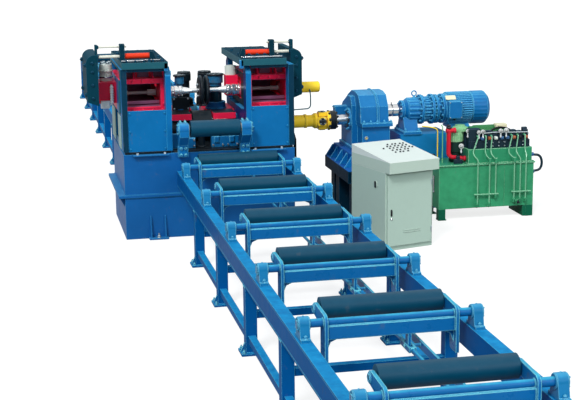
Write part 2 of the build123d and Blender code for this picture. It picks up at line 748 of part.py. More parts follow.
def ties(cx, spots):
    """Cross ties between the legs and long braces from leg to leg."""
    for y in spots:
        slab(cx - rail_x + leg_w / 2, cx + rail_x - leg_w / 2, y - brace_w / 2, y + brace_w / 2,
             tie_z - brace_w / 2, tie_z + brace_w / 2)
    order = sorted(spots)
    for y0, y1 in zip(order[:-1], order[1:]):
        for side in (-1, 1):
            line = cx + side * rail_x
            slab(line - brace_w / 2, line + brace_w / 2, y0 + leg_w / 2, y1 - leg_w / 2,
                 brace_z - brace_w / 2, brace_z + brace_w / 2)


def pillows(cx, spots):
    """Pillow blocks on the rails, one pair per station."""
    for y in spots:
        for side in (-1, 1):
            line = cx + side * rail_x
            x0 = line - pillow_t / 2
            x1 = line + pillow_t / 2
            slab(x0, x1, y - 78, y + 78, rail_top, rail_top + 20)
            side_plate(x0, x1, [(y - 58, rail_top + 20), (y + 58, rail_top + 20), (y + 42, pivot_z),
                                (y - 42, pivot_z)])
            bar_x(x0, x1, y, pivot_z, 43)
            bar_x(x0 - 1, x1 + 1, y, pivot_z, stub_r + run, mode=Mode.SUBTRACT)


def rocker(cx, y, away, lever):
    """Swinging frame of one station: tube, beam, end plates, stubs and, in front, the lever."""
    hub_z = pivot_z + arm_rise
    foot_z = pivot_z - arm_drop
    for side in (-1, 1):
        x0 = cx + side * arm_x if side > 0 else cx + side * arm_x - arm_t
        with BuildSketch(Plane.YZ.offset(x0)) as shape:
            with Locations((y, pivot_z)):
                Circle(46)
            with Locations((y + away * arm_len, hub_z)):
                Circle(36)
            make_hull()
        extrude(shape.sketch, amount=arm_t)
        side_plate(x0, x0 + arm_t, [(y - away * 46, pivot_z), (y + away * 64, pivot_z),
                                    (y + away * 64, foot_z + 20), (y + away * 44, foot_z),
                                    (y + away * (64 - arm_foot), foot_z)])
        bar_x(x0 - 1, x0 + arm_t + 1, y + away * arm_len, hub_z, axle_r + run,
              mode=Mode.SUBTRACT)
        wall = cx + side * arm_x
        front_plate(y - gusset_t / 2, y + gusset_t / 2,
                    [(wall, beam_z0), (wall - side * gusset, beam_z0),
                     (wall - side * gusset * 0.3, beam_z0 - gusset * 0.3), (wall, beam_z0 - gusset)])
    bar_x(cx - stub_end, cx - arm_x - arm_t, y, pivot_z, stub_r)
    bar_x(cx + arm_x + arm_t, cx + stub_end, y, pivot_z, stub_r)
    bar_x(cx - arm_x, cx + arm_x, y, pivot_z, tube_rad)
    slab(cx - arm_x, cx + arm_x, y - beam_w / 2, y + beam_w / 2, beam_z0, beam_z1)
    if lever:
        with BuildSketch(Plane.YZ.offset(cx + lever_x)) as shape:
            with Locations((y, beam_z0 + 10)):
                Circle(28)
            with Locations((y, pivot_z - lever_len)):
                Circle(24)
            make_hull()
        extrude(shape.sketch, amount=lever_t)
        bar_x(cx + lever_x - 1, cx + lever_x + lever_t + 1, y, pivot_z - lever_len,
              link_pin_r + run, mode=Mode.SUBTRACT)


def table_roller(cx, y):
    """Roller with stepped ends and axle journals."""
    half = table_roll_len / 2
    collar = half + roll_clear - 3
    ax = arm_x + arm_t + 8
    turned_x([(cx - ax, axle_r), (cx - collar, axle_r), (cx - collar, 30), (cx - half, 30),
              (cx - half, table_roll_r), (cx + half, table_roll_r), (cx + half, 30),
              (cx + collar, 30), (cx + collar, axle_r), (cx + ax, axle_r)], y,
             pivot_z + arm_rise)


stations = [first_y - pitch * k for k in range(bays)]
leg_spots = [first_y - leg_y - pitch * k for k in range(bays - 1)] + [table_end + 60]
rear_legs_y = [rear_first_leg + pitch * k for k in range(rear_bays + 1)]
rear_stations = [y + pitch / 2 for y in rear_legs_y[:-1]]

with BuildPart() as table_rails:
    rails(table_x, table_end, -base_y)
    rails(rear_x, base_y, rear_end)
save(table_rails.part, "table_rails")

with BuildPart() as table_legs:
    legs(table_x, leg_spots)
    legs(rear_x, rear_legs_y)
save(table_legs.part, "table_legs")

with BuildPart() as table_ties:
    ties(table_x, leg_spots)
    ties(rear_x, rear_legs_y)
save(table_ties.part, "table_ties")

with BuildPart() as pillow_blocks:
    pillows(table_x, stations)
    pillows(rear_x, rear_stations)
save(pillow_blocks.part, "pillow_blocks")

for number, y in enumerate(stations):
    with BuildPart() as one_rocker:
        rocker(table_x, y, 1, True)
    save(one_rocker.part, "rocker_" + str(number + 1))
    with BuildPart() as one_roller:
        table_roller(table_x, y + arm_len)
    save(one_roller.part, "table_roller_" + str(number + 1))

# Link under the stations: round rods between forks pinned to every lever, and a flat
# bar beside them on the same pins.
with BuildPart() as link_rod:
    lx = table_x + lever_x
    pin_z = pivot_z - lever_len
    for y in stations:
        for x0 in (lx - link_gap - link_cheek, lx + lever_t + link_gap):
            slab(x0, x0 + link_cheek, y - 85, y + 85, pin_z - 16, pin_z + 16)
        for side in (-1, 1):
            slab(lx - link_gap, lx + lever_t + link_gap, y + side * 60, y + side * 85, pin_z - 14,
                 pin_z + 14)
        bar_x(lx - link_gap - 16, table_x + link_bar_x + 20, y, pin_z, link_pin_r)
    for y0, y1 in zip(stations[1:], stations[:-1]):
        bar_y(y0 + 84, y1 - 84, lx + lever_t / 2, pin_z, link_r)
    slab(table_x + link_bar_x, table_x + link_bar_x + 12, stations[-1] - 60, stations[0] + 60,
         pin_z - 25, pin_z + 25)
save(link_rod.part, "link_rod")

with BuildPart() as rear_rockers:
    for y in rear_stations:
        rocker(rear_x, y, -1, False)
save(rear_rockers.part, "rear_rockers")

with BuildPart() as rear_rollers:
    for y in rear_stations:
        table_roller(rear_x, y - arm_len)
save(rear_rollers.part, "rear_rollers")

# Entry roller and its two posts on the front of the base.
with BuildPart() as entry_posts:
    for side in (-1, 1):
        x0 = side * post_x + post_shift - post_w / 2
        x1 = x0 + post_w
        side_plate(x0, x1, [(-base_y, post_z0), (-base_y - 44, post_z0), (-base_y - 44, entry_z - 160),
                            (entry_y - 48, entry_z - 70), (entry_y - 48, entry_z),
                            (entry_y, entry_z + 48), (-base_y, entry_z + 48)])
        bar_x(x0, x1, entry_y, entry_z, 52)
        bar_x(x0 - 1, x1 + 1, entry_y, entry_z, entry_pin_r + run, mode=Mode.SUBTRACT)
save(entry_posts.part, "entry_posts")

with BuildPart() as entry_roller:
    half = entry_len / 2
    ax = post_x + post_w / 2 - 8
    turned_x([(post_shift - ax, entry_pin_r), (post_shift - half, entry_pin_r),
              (post_shift - half, entry_r), (post_shift + half, entry_r),
              (post_shift + half, entry_pin_r), (post_shift + ax, entry_pin_r)], entry_y, entry_z)
save(entry_roller.part, "entry_roller")
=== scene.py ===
"""Looks of the beam straightening machine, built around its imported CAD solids.

Metres, in the frame of the CAD: X to the drive side, Y along the feed, Z up from the floor.
Every new piece is a surface worked out with numpy: a grid of two parameters, a profile turned
about an axis, or a section carried along a path.
"""

import logging
import math
from dataclasses import dataclass, field
from enum import Enum
from typing import Iterable, Sequence

import bpy
import numpy as np
from mathutils import Matrix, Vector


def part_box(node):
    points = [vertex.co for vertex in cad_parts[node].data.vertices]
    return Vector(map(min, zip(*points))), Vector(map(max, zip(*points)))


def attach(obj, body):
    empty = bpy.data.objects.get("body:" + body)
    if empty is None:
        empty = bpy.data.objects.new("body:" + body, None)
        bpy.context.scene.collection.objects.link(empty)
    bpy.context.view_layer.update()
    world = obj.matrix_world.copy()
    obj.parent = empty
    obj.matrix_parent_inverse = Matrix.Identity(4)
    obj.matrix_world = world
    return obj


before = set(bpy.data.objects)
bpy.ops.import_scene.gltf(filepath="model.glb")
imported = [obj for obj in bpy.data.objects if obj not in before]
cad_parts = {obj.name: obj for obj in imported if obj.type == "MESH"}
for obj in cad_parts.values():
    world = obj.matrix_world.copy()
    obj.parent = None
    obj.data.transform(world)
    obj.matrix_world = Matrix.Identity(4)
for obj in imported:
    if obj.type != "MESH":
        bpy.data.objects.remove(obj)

log = logging.getLogger("straightening_machine")
Array = np.ndarray
Colour = tuple[float, float, float]
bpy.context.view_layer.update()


class Facing(Enum):
    """Where a small part's own upward axis points once it is placed."""

    UP = (0, 0, 1)
    DOWN = (0, 0, -1)
    LEFT = (-1, 0, 0)
    RIGHT = (1, 0, 0)
    FRONT = (0, -1, 0)
    BACK = (0, 1, 0)


# ---- shapes ---------------------------------------------------------------------------


@dataclass
class Shell:
    """A closed surface: its points, its four-cornered faces and its flat end faces."""

    points: Array
    quads: Array
    ends: list[Array] = field(default_factory=list)

    def moved(self, x: float, y: float, z: float) -> "Shell":
        """The same shell at point + (x, y, z)."""
        return Shell(self.points + np.array([x, y, z]), self.quads, self.ends)

    def turned(self, matrix: Sequence[Sequence[float]] | Array) -> "Shell":
        """The same shell with every point multiplied by a matrix.

        Args:
            matrix: three by three; where it mirrors, the faces are turned round again.

        Returns:
            The turned shell, its faces still pointing outward.
        """
        turn = np.asarray(matrix, float)
        points = self.points @ turn.T
        if np.linalg.det(turn) > 0:
            return Shell(points, self.quads, self.ends)
        return Shell(points, self.quads[:, ::-1], [end[::-1] for end in self.ends])

    def faced(self, facing: Facing) -> "Shell":
        """The same shell turned so that its upward axis points along facing.

        Args:
            facing: the new direction w; the columns of the turn are u, w x u and w.

        Returns:
            The turned shell.
        """
        w = np.array(facing.value, float)
        u = np.array([0.0, 1.0, 0.0]) if abs(w[0]) > 0.5 else np.array([1.0, 0.0, 0.0])
        return self.turned(np.stack([u, np.cross(w, u), w], axis=1))

    def copied(self, places: Sequence[Sequence[float]]) -> "Shell":
        """One shell per place: point[k, i] = place[k] + point[i], numbered on from copy to copy.

        Args:
            places: the offsets, one (x, y, z) each.

        Returns:
            All the copies as one shell.
        """
        spots = np.asarray(places, float).reshape(-1, 3)
        count = len(self.points)
        steps = np.arange(len(spots)) * count
        points = (spots[:, None, :] + self.points[None]).reshape(-1, 3)
        quads = (self.quads[None] + steps[:, None, None]).reshape(-1, 4)
        return Shell(points, quads, [end + step for step in steps for end in self.ends])


def joined(shells: Iterable[Shell]) -> Shell:
    """Several shells as one, each numbered on from the one before."""
    points, quads, ends, start = [], [], [], 0
    for shell in shells:
        points.append(shell.points)
        quads.append(shell.quads + start)
        ends += [end + start for end in shell.ends]
        start += len(shell.points)
    return Shell(np.concatenate(points), np.concatenate(quads), ends)


def skin(points: Array, closed: bool = False) -> Shell:
    """Skins a grid: face (i, j) joins points (i, j), (i, j+1), (i+1, j+1) and (i+1, j).

    Args:
        points: the grid, (rows, columns, 3), whose last column joins the first.
        closed: joins the last row to the first; otherwise each of the two gets a flat face.

    Returns:
        The skinned shell.
    """
    rows, columns = points.shape[:2]
    index = np.arange(rows * columns).reshape(rows, columns)
    after, above = np.roll(index, -1, axis=1), np.roll(index, -1, axis=0)
    both = np.roll(above, -1, axis=1)
    keep = rows if closed else rows - 1
    corners = [index[:keep], after[:keep], both[:keep], above[:keep]]
    quads = np.stack(corners, axis=-1).reshape(-1, 4)
    lids = [] if closed else [index[0, ::-1], index[-1]]
    return Shell(points.reshape(-1, 3), quads, lids)


def turned_part(profile: Sequence[tuple[float, float]], sides: int = 32) -> Shell:
    """Surface of revolution about +Z: (r cos t, r sin t, h) for each (h, r) of the profile."""
    h, r = np.asarray(profile, float).T
    t = np.linspace(0, 2 * math.pi, sides, endpoint=False)
    x, y = r[:, None] * np.cos(t), r[:, None] * np.sin(t)
    return skin(np.stack([x, y, np.broadcast_to(h[:, None], x.shape)], axis=-1))


def ring_part(profile: Sequence[tuple[float, float]], sides: int = 32) -> Shell:
    """Ring about +Z: the closed (h, r) profile, outer side upward, turned once round."""
    h, r = np.asarray(profile, float).T
    t = np.linspace(0, 2 * math.pi, sides, endpoint=False)
    x, y = np.cos(t)[:, None] * r, np.sin(t)[:, None] * r
    return skin(np.stack([x, y, np.broadcast_to(h, x.shape)], axis=-1)[::-1], closed=True)


def hex_bolt(across: float, head: float, washer: float = 0.003, thread: float = 0.0) -> Shell:
    """Washer, six-sided head with a chamfer, and a thread end above it.

    The radius at angle t is a / cos(t mod 60 - 30 degrees), with a half the width across flats;
    the washer and the thread keep one radius.

    Args:
        across: the head's width across flats.
        head: the head's height.
        washer: the washer's thickness.
        thread: how far the thread's end stands above the head, or 0.

    Returns:
        The bolt, standing on z = 0.
    """
    t = np.linspace(0, 2 * math.pi, 12, endpoint=False)
    half = across / 2
    flats = half / np.cos((t + math.pi / 6) % (math.pi / 3) - math.pi / 6)
    even = np.full(12, half)
    top = washer + head
    levels = [(0, even * 1.32), (washer, even * 1.32), (washer, flats), (top - head * 0.18, flats),
              (top, even * 0.92)]
    if thread > 0:
        levels += [(top, even * 0.55), (top + thread, even * 0.5)]
    radius = np.stack([r for _, r in levels])
    height = np.array([h for h, _ in levels])[:, None] * np.ones(12)
    return skin(np.stack([radius * np.cos(t), radius * np.sin(t), height], axis=-1))


def inset(outline: Array, depth: float) -> Array:
    """The counter-clockwise outline moved inward by depth.

    Each corner moves by (n1 + n2) / (1 + n1.n2) * depth, with n1 and n2 the inward normals of
    its two edges.
    """
    edge = np.roll(outline, -1, axis=0) - outline
    edge /= np.linalg.norm(edge, axis=1)[:, None]
    normal = np.stack([-edge[:, 1], edge[:, 0]], axis=1)
    before = np.roll(normal, 1, axis=0)
    share = 1 + np.sum(normal * before, axis=1)[:, None]
    return outline + (normal + before) / np.maximum(share, 0.2) * depth


def plate(outline: Sequence[tuple[float, float]], thick: float, bevel: float = 0.0015) -> Shell:
    """Flat plate with softened edges: the outline at four heights, drawn in at both faces.

    Args:
        outline: the corners in (x, y), counter-clockwise.
        thick: the thickness along +Z.
        bevel: how far the edges are taken off.

    Returns:
        The plate, standing on z = 0.
    """
    shape = np.asarray(outline, float)
    cut = min(bevel, thick * 0.45)
    drawn = inset(shape, cut)
    rows = [(drawn, 0.0), (shape, cut), (shape, thick - cut), (drawn, thick)]
    grid = [np.column_stack([ring, np.full(len(ring), height)]) for ring, height in rows]
    return skin(np.stack(grid))


def round_corners(width: float, depth: float, radius: float, steps: int = 4) -> Array:
    """Rectangle outline with quarter-circle corners, counter-clockwise about the origin."""
    t = np.linspace(0, math.pi / 2, steps)[None] + np.arange(4)[:, None] * math.pi / 2
    sx = np.array([1, -1, -1, 1])[:, None] * (width / 2 - radius)
    sy = np.array([1, 1, -1, -1])[:, None] * (depth / 2 - radius)
    return np.stack([sx + radius * np.cos(t), sy + radius * np.sin(t)], axis=-1).reshape(-1, 2)


def box(low: Sequence[float], high: Sequence[float], corner: float = 0.004,
        bevel: float = 0.002) -> Shell:
    """Block between two corners with rounded upright edges and softened faces."""
    (x0, y0, z0), (x1, y1, z1) = low, high
    radius = min(corner, (x1 - x0) * 0.45, (y1 - y0) * 0.45)
    cut = min(bevel, radius * 0.8, (z1 - z0) * 0.4)
    block = plate(round_corners(x1 - x0, y1 - y0, radius), z1 - z0, cut)
    return block.moved((x0 + x1) / 2, (y0 + y1) / 2, z0)


def tube(path: Array, radius: float | Array, sides: int = 12, closed: bool = False) -> Shell:
    """Circle carried along a path: p + r (cos t s + sin t u).

    s is the path's direction crossed with the normal of the plane that fits the path best, and
    u is the direction crossed with s.

    Args:
        path: the centre line, (n, 3).
        radius: one radius, or one per point.
        sides: points in a circle.
        closed: joins the last circle to the first.

    Returns:
        The tube, with flat ends unless it is closed.
    """
    line = np.asarray(path, float)
    ahead = np.roll(line, -1, 0) - np.roll(line, 1, 0) if closed else np.gradient(line, axis=0)
    ahead /= np.linalg.norm(ahead, axis=1)[:, None]
    flat = np.linalg.svd(line - line.mean(0))[2][-1]
    side = np.cross(ahead, flat)
    side /= np.linalg.norm(side, axis=1)[:, None]
    up = np.cross(ahead, side)
    t = np.linspace(0, 2 * math.pi, sides, endpoint=False)
    r = np.broadcast_to(np.asarray(radius, float), (len(line),))[:, None, None]
    ring = np.cos(t)[None, :, None] * side[:, None] + np.sin(t)[None, :, None] * up[:, None]
    grid = line[:, None] + r * ring
    return skin(grid, closed)


def pipe_line(corners: Sequence[Sequence[float]], bend: float, steps: int = 6) -> Array:
    """Centre line of a bent steel pipe: (1-t)^2 A + 2t(1-t) P + t^2 B at each corner P.

    A and B lie one bend radius before and after the corner.

    Args:
        corners: the ends and the corners in order, (n, 3).
        bend: the distance from a corner to where its bend starts.
        steps: points in one bend.

    Returns:
        The centre line, (m, 3).
    """
    p = np.asarray(corners, float)
    leg = np.diff(p, axis=0)
    size = np.linalg.norm(leg, axis=1)[:, None]
    reach = np.minimum(bend, np.minimum(size[:-1], size[1:]) * 0.48)
    a = p[1:-1] - leg[:-1] / size[:-1] * reach
    b = p[1:-1] + leg[1:] / size[1:] * reach
    t = np.linspace(0, 1, steps)[None, :, None]
    arcs = (1 - t) ** 2 * a[:, None] + 2 * t * (1 - t) * p[1:-1, None] + t**2 * b[:, None]
    return np.concatenate([p[:1], arcs.reshape(-1, 3), p[-1:]])


def pipe(corners: Sequence[Sequence[float]], radius: float, bend: float = 0.03,
         sides: int = 10) -> Shell:
    """Bent steel pipe along its corners."""
    return tube(pipe_line(corners, bend), radius, sides)


def weld(start: Sequence[float], end: Sequence[float], size: float = 0.004) -> Shell:
    """Weld bead between two points: a tube whose radius swells by a tenth at each ripple."""
    a, b = np.asarray(start, float), np.asarray(end, float)
    count = int(max(8, min(160, np.linalg.norm(b - a) / 0.012)))
    t = np.linspace(0, 1, count)[:, None]
    ripple = size * (1 + 0.12 * np.cos(np.arange(count) * 2.1))
    return tube(a + (b - a) * t, ripple, 6)


def bolt_circle(radius: float, count: int, start: float = 0.0) -> Array:
    """Places on a circle about +Z: (r cos t, r sin t, 0) for count equal steps of t."""
    t = np.linspace(0, 2 * math.pi, count, endpoint=False) + start
    return np.stack([radius * np.cos(t), radius * np.sin(t), np.zeros(count)], axis=1)


def grid_places(xs: Sequence[float], ys: Sequence[float], zs: Sequence[float]) -> Array:
    """Every (x, y, z) of three lists of positions."""
    return np.stack(np.meshgrid(xs, ys, zs, indexing="ij"), axis=-1).reshape(-1, 3)


# ---- finishes -------------------------------------------------------------------------


def linear(red: int, green: int, blue: int) -> Colour:
    """Scene-linear colour of a screen colour from 0 to 255: ((c + 0.055) / 1.055) ^ 2.4."""
    c = np.array([red, green, blue]) / 255
    value = np.where(c < 0.04045, c / 12.92, ((c + 0.055) / 1.055) ** 2.4)
    return tuple(float(v) for v in value)


class Bench:
    """Short ways to place and join nodes of one tree."""

    def __init__(self, tree: bpy.types.NodeTree) -> None:
        """Keeps the tree that the nodes go into."""
        self.tree = tree

    def node(self, kind: str, **settings: object) -> bpy.types.Node:
        """Adds a node and sets its properties."""
        made = self.tree.nodes.new(kind)
        for key, value in settings.items():
            setattr(made, key, value)
        return made

    def feed(self, socket: bpy.types.NodeSocket, value: object) -> None:
        """Links an output to a socket, or sets the socket's own value."""
        if isinstance(value, bpy.types.NodeSocket):
            self.tree.links.new(value, socket)
        else:
            socket.default_value = value

    def sums(self, operation: str, a: object, b: object = 0.5, clamp: bool = False) -> object:
        """Result of one step of arithmetic on two values or sockets."""
        made = self.node("ShaderNodeMath", operation=operation, use_clamp=clamp)
        self.feed(made.inputs[0], a)
        self.feed(made.inputs[1], b)
        return made.outputs[0]

    def span(self, value: object, low: float, high: float, to_low: float = 0.0,
             to_high: float = 1.0) -> object:
        """The value's place between low and high, clamped and stretched to to_low..to_high."""
        made = self.node("ShaderNodeMapRange", clamp=True)
        for socket, given in zip(made.inputs, (value, low, high, to_low, to_high)):
            self.feed(socket, given)
        return made.outputs[0]

    def blend(self, share: object, a: object, b: object) -> object:
        """Colour a with a share of colour b."""
        made = self.node("ShaderNodeMix", data_type="RGBA")
        self.feed(made.inputs[0], share)
        self.feed(made.inputs[6], a)
        self.feed(made.inputs[7], b)
        return made.outputs[2]

    def noise(self, vector: object, scale: float, detail: float = 3.0,
              rough: float = 0.55) -> object:
        """Grey noise from 0 to 1 at so many cells a metre."""
        made = self.node("ShaderNodeTexNoise")
        self.feed(made.inputs["Vector"], vector)
        made.inputs["Scale"].default_value = scale
        made.inputs["Detail"].default_value = detail
        made.inputs["Roughness"].default_value = rough
        return made.outputs["Fac"]

    def stretched(self, vector: object, scale: Sequence[float]) -> object:
        """The vector with its three axes scaled."""
        made = self.node("ShaderNodeMapping")
        self.feed(made.inputs["Vector"], vector)
        made.inputs["Scale"].default_value = scale
        return made.outputs["Vector"]


def new_group(name: str, takes: Sequence[tuple[str, str]], gives: Sequence[tuple[str, str]]
              ) -> tuple[bpy.types.NodeTree, Bench, dict, dict]:
    """Empty node group with named sockets.

    Args:
        name: the group's name.
        takes: (name, kind) of each input, the kind without its NodeSocket.
        gives: (name, kind) of each output.

    Returns:
        The group, its bench, its inputs by name and its output sockets by name.
    """
    tree = bpy.data.node_groups.new(name, "ShaderNodeTree")
    for label, kind in takes:
        tree.interface.new_socket(label, in_out="INPUT", socket_type="NodeSocket" + kind)
    for label, kind in gives:
        tree.interface.new_socket(label, in_out="OUTPUT", socket_type="NodeSocket" + kind)
    bench = Bench(tree)
    source, sink = bench.node("NodeGroupInput"), bench.node("NodeGroupOutput")
    return (tree, bench, {s.name: s for s in source.outputs}, {s.name: s for s in sink.inputs})


def make_wear_and_top_light() -> bpy.types.NodeTree:
    """Group for paint and steel in a workshop, with painted top light on faces that look up.

    The paint's brightness drifts over a metre and mottles over a hand's width, thin vertical
    streaks and spots show the undercoat, and faces that look up blend to a given colour: real dust
    on some finishes, painted top light on the blue ones.
    """
    tree, b, take, give = new_group(
        "wear_and_top_light",
        [("Vector", "Vector"), ("Paint", "Color"), ("Undercoat", "Color"), ("Dust and top light", "Color"),
         ("Drift", "Float"), ("Wear", "Float"), ("Dust and top light share", "Float"), ("Roughness", "Float"),
         ("Grain", "Float")],
        [("Color", "Color"), ("Roughness", "Float"), ("Height", "Float")])
    v = take["Vector"]
    broad, mottle, grain = b.noise(v, 1.9), b.noise(v, 17.0, 4.0), b.noise(v, 380.0, 2.0)
    streak = b.noise(b.stretched(v, (1.0, 1.0, 0.12)), 34.0, 4.0, 0.6)
    swing = b.sums("ADD", b.sums("SUBTRACT", broad, 0.5), b.sums("MULTIPLY", b.sums(
        "SUBTRACT", mottle, 0.5), 0.6))
    tone = b.node("ShaderNodeHueSaturation")
    b.feed(tone.inputs["Value"], b.sums("MULTIPLY_ADD", swing, take["Drift"]))
    tone.inputs["Value"].links[0].from_node.inputs[2].default_value = 1.0
    b.feed(tone.inputs["Color"], take["Paint"])
    spots = b.sums("MULTIPLY", b.span(mottle, 0.60, 0.70), b.span(streak, 0.48, 0.62))
    worn = b.sums("MULTIPLY", spots, take["Wear"], clamp=True)
    upward = b.node("ShaderNodeSeparateXYZ")
    b.feed(upward.inputs[0], b.node("ShaderNodeNewGeometry").outputs["Normal"])
    # Faces that look up blend to the given colour: real dust on some finishes, painted top light on the blue
    # ones.
    lying = b.sums("MULTIPLY", b.span(upward.outputs[2], 0.55, 0.95),
                   b.span(mottle, 0.3, 0.7, 0.45, 1.0))
    dust_and_top_light = b.sums("MULTIPLY", lying, take["Dust and top light share"], clamp=True)
    b.feed(give["Color"], b.blend(dust_and_top_light, b.blend(worn, tone.outputs[0], take["Undercoat"]),
                                  take["Dust and top light"]))
    shine = b.sums("ADD", take["Roughness"], b.sums("MULTIPLY", b.sums("SUBTRACT", mottle, 0.5), 0.22))
    b.feed(give["Roughness"], b.sums("ADD", shine, b.sums("MULTIPLY", b.sums("ADD", dust_and_top_light, worn), 0.3),
                                     clamp=True))
    relief = b.sums("MULTIPLY", grain, take["Grain"])
    b.feed(give["Height"], b.sums("SUBTRACT", relief, b.sums("MULTIPLY", worn, 0.5)))
    return tree


def make_edge_highlight() -> bpy.types.NodeTree:
    """Group for a painted highlight on edges.

    The mask is one minus the dot product of the face's normal with the normal rounded over the
    given radius; the paint turns to the edge colour there, a painted highlight. The rounded normal
    comes out too.
    """
    tree, b, take, give = new_group(
        "painted_edge_highlight",
        [("Paint", "Color"), ("Edge highlight", "Color"), ("Radius", "Float"), ("Amount", "Float")],
        [("Color", "Color"), ("Normal", "Vector"), ("Mask", "Float")])
    rounded = b.node("ShaderNodeBevel", samples=4)
    b.feed(rounded.inputs["Radius"], take["Radius"])
    dot = b.node("ShaderNodeVectorMath", operation="DOT_PRODUCT")
    b.feed(dot.inputs[0], rounded.outputs[0])
    b.feed(dot.inputs[1], b.node("ShaderNodeNewGeometry").outputs["Normal"])
    mask = b.sums("MULTIPLY", b.span(dot.outputs["Value"], 0.995, 0.86), take["Amount"], clamp=True)
    b.feed(give["Color"], b.blend(mask, take["Paint"], take["Edge highlight"]))
    b.feed(give["Normal"], rounded.outputs[0])
    b.feed(give["Mask"], mask)
    return tree


@dataclass(frozen=True)
class Band:
    """Stretch of a part with its own finish: from a place along an axis onward."""

    start: float
    colour: Colour
    metallic: float = 0.0
    roughness: float = 0.4
    axis: int = 0


@dataclass(frozen=True)
class Finish:
    """Finish of one kind of surface, drawn on Object coordinates."""

    name: str
    paint: Colour
    slot: str = ""
    # The edge colour is a painted highlight on edges.
    edge: Colour = (0.7, 0.75, 0.78)
    undercoat: Colour = (0.10, 0.10, 0.11)
    # This colour, with its share further down, blends onto faces that look up: real dust on some finishes,
    # painted top light on the blue ones.
    dust_and_top_light: Colour = (0.42, 0.44, 0.45)
    metallic: float = 0.0
    roughness: float = 0.36
    specular: float = 0.2
    coat: float = 0.03
    drift: float = 0.3
    wear: float = 0.35
    dust_and_top_light_share: float = 0.03
    grain: float = 0.35
    bump: float = 0.35
    edge_radius: float = 0.006
    edge_amount: float = 0.5
    bands: tuple[Band, ...] = ()

    def material(self) -> bpy.types.Material:
        """The finish's material, made the first time it is asked for.

        Returns:
            A Principled material whose colour, roughness and bump come from the two groups.
        """
        found = bpy.data.materials.get(self.name)
        if found:
            return found
        made = bpy.data.materials.new(self.name)
        made.use_nodes = True
        made.node_tree.nodes.clear()
        b = Bench(made.node_tree)
        place = b.node("ShaderNodeTexCoord").outputs["Object"]
        wear = b.node("ShaderNodeGroup", node_tree=GROUPS["wear_and_top_light"])
        edges = b.node("ShaderNodeGroup", node_tree=GROUPS["painted_edge_highlight"])
        shader = b.node("ShaderNodeBsdfPrincipled")
        paint, metallic, rough = self.banded(b, place)
        for label, value in (("Vector", place), ("Paint", paint),
                             ("Undercoat", (*self.undercoat, 1)), ("Dust and top light", (*self.dust_and_top_light, 1)),
                             ("Drift", self.drift), ("Wear", self.wear),
                             ("Dust and top light share", self.dust_and_top_light_share), ("Roughness", rough),
                             ("Grain", self.grain)):
            b.feed(wear.inputs[label], value)
        for label, value in (("Paint", wear.outputs["Color"]), ("Edge highlight", (*self.edge, 1)),
                             ("Radius", self.edge_radius), ("Amount", self.edge_amount)):
            b.feed(edges.inputs[label], value)
        bump = b.node("ShaderNodeBump")
        bump.inputs["Strength"].default_value = self.bump
        bump.inputs["Distance"].default_value = 0.0008
        b.feed(bump.inputs["Height"], wear.outputs["Height"])
        b.feed(bump.inputs["Normal"], edges.outputs["Normal"])
        for label, value in (("Base Color", edges.outputs["Color"]),
                             ("Roughness", wear.outputs["Roughness"]),
                             ("Normal", bump.outputs[0]), ("Metallic", metallic),
                             ("Coat Weight", self.coat), ("Coat Roughness", 0.12),
                             ("Specular IOR Level", self.specular)):
            b.feed(shader.inputs[label], value)
        b.feed(b.node("ShaderNodeOutputMaterial").inputs[0], shader.outputs[0])
        made.diffuse_color = (*self.paint, 1)
        return made

    def banded(self, b: Bench, place: object) -> tuple[object, object, object]:
        """Colour, metallic and roughness in the part's bands.

        Args:
            b: the bench of the material.
            place: the Object coordinates.

        Returns:
            Plain values, or sockets where the finish has bands.
        """
        colour: object = (*self.paint, 1)
        if not self.bands:
            return colour, self.metallic, self.roughness
        parts = b.node("ShaderNodeSeparateXYZ")
        b.feed(parts.inputs[0], place)
        metallic, rough = self.metallic, self.roughness
        for band in self.bands:
            past = b.sums("GREATER_THAN", parts.outputs[band.axis], band.start)
            colour = b.blend(past, colour, (*band.colour, 1))
            metallic = b.span(past, 0.0, 1.0, metallic, band.metallic)
            rough = b.span(past, 0.0, 1.0, rough, band.roughness)
        return colour, metallic, rough


GROUPS: dict[str, bpy.types.NodeTree] = {}

# Painted light on the blue finishes: the light cyan that their faces looking up blend to is painted top light,
# and their edge colours are painted highlights.
PAINTED_EDGE_HIGHLIGHT = linear(70, 190, 236)
PAINTED_TOP_LIGHT = linear(92, 190, 230)
BLUE = Finish("machine_blue", linear(12, 108, 172), "blue_paint", edge=linear(110, 214, 244),
              dust_and_top_light=PAINTED_TOP_LIGHT, dust_and_top_light_share=0.45, edge_amount=1.0, edge_radius=0.009)
# The narrow dark band from x 0.3435 to 0.3462 paints shade on the right tower's inner face.
TOWER_BLUE = Finish(
    "tower_blue", linear(14, 110, 172), "blue_paint", edge=PAINTED_EDGE_HIGHLIGHT, dust_and_top_light=PAINTED_TOP_LIGHT, dust_and_top_light_share=0.3,
    specular=0.08, coat=0.0,
    edge_amount=0.7, bands=(Band(0.3435, linear(4, 48, 112)), Band(0.3462, linear(14, 110, 172))))
BASE_BLUE = Finish("base_blue", linear(14, 94, 162), "blue_paint", edge=PAINTED_EDGE_HIGHLIGHT, dust_and_top_light=PAINTED_TOP_LIGHT,
                   dust_and_top_light_share=0.3, edge_amount=0.5)
TABLE_BLUE = Finish("table_blue", linear(8, 100, 164), "blue_paint", edge=linear(140, 238, 242),
                    dust_and_top_light=linear(64, 190, 220), dust_and_top_light_share=0.75, roughness=0.3, specular=0.2,
                    edge_radius=0.009, edge_amount=1.0)
PILLOW = Finish("pillow_blue", linear(14, 116, 168), "blue_paint", edge=linear(130, 220, 244),
                dust_and_top_light=PAINTED_TOP_LIGHT, dust_and_top_light_share=0.5, edge_radius=0.006, edge_amount=0.9)
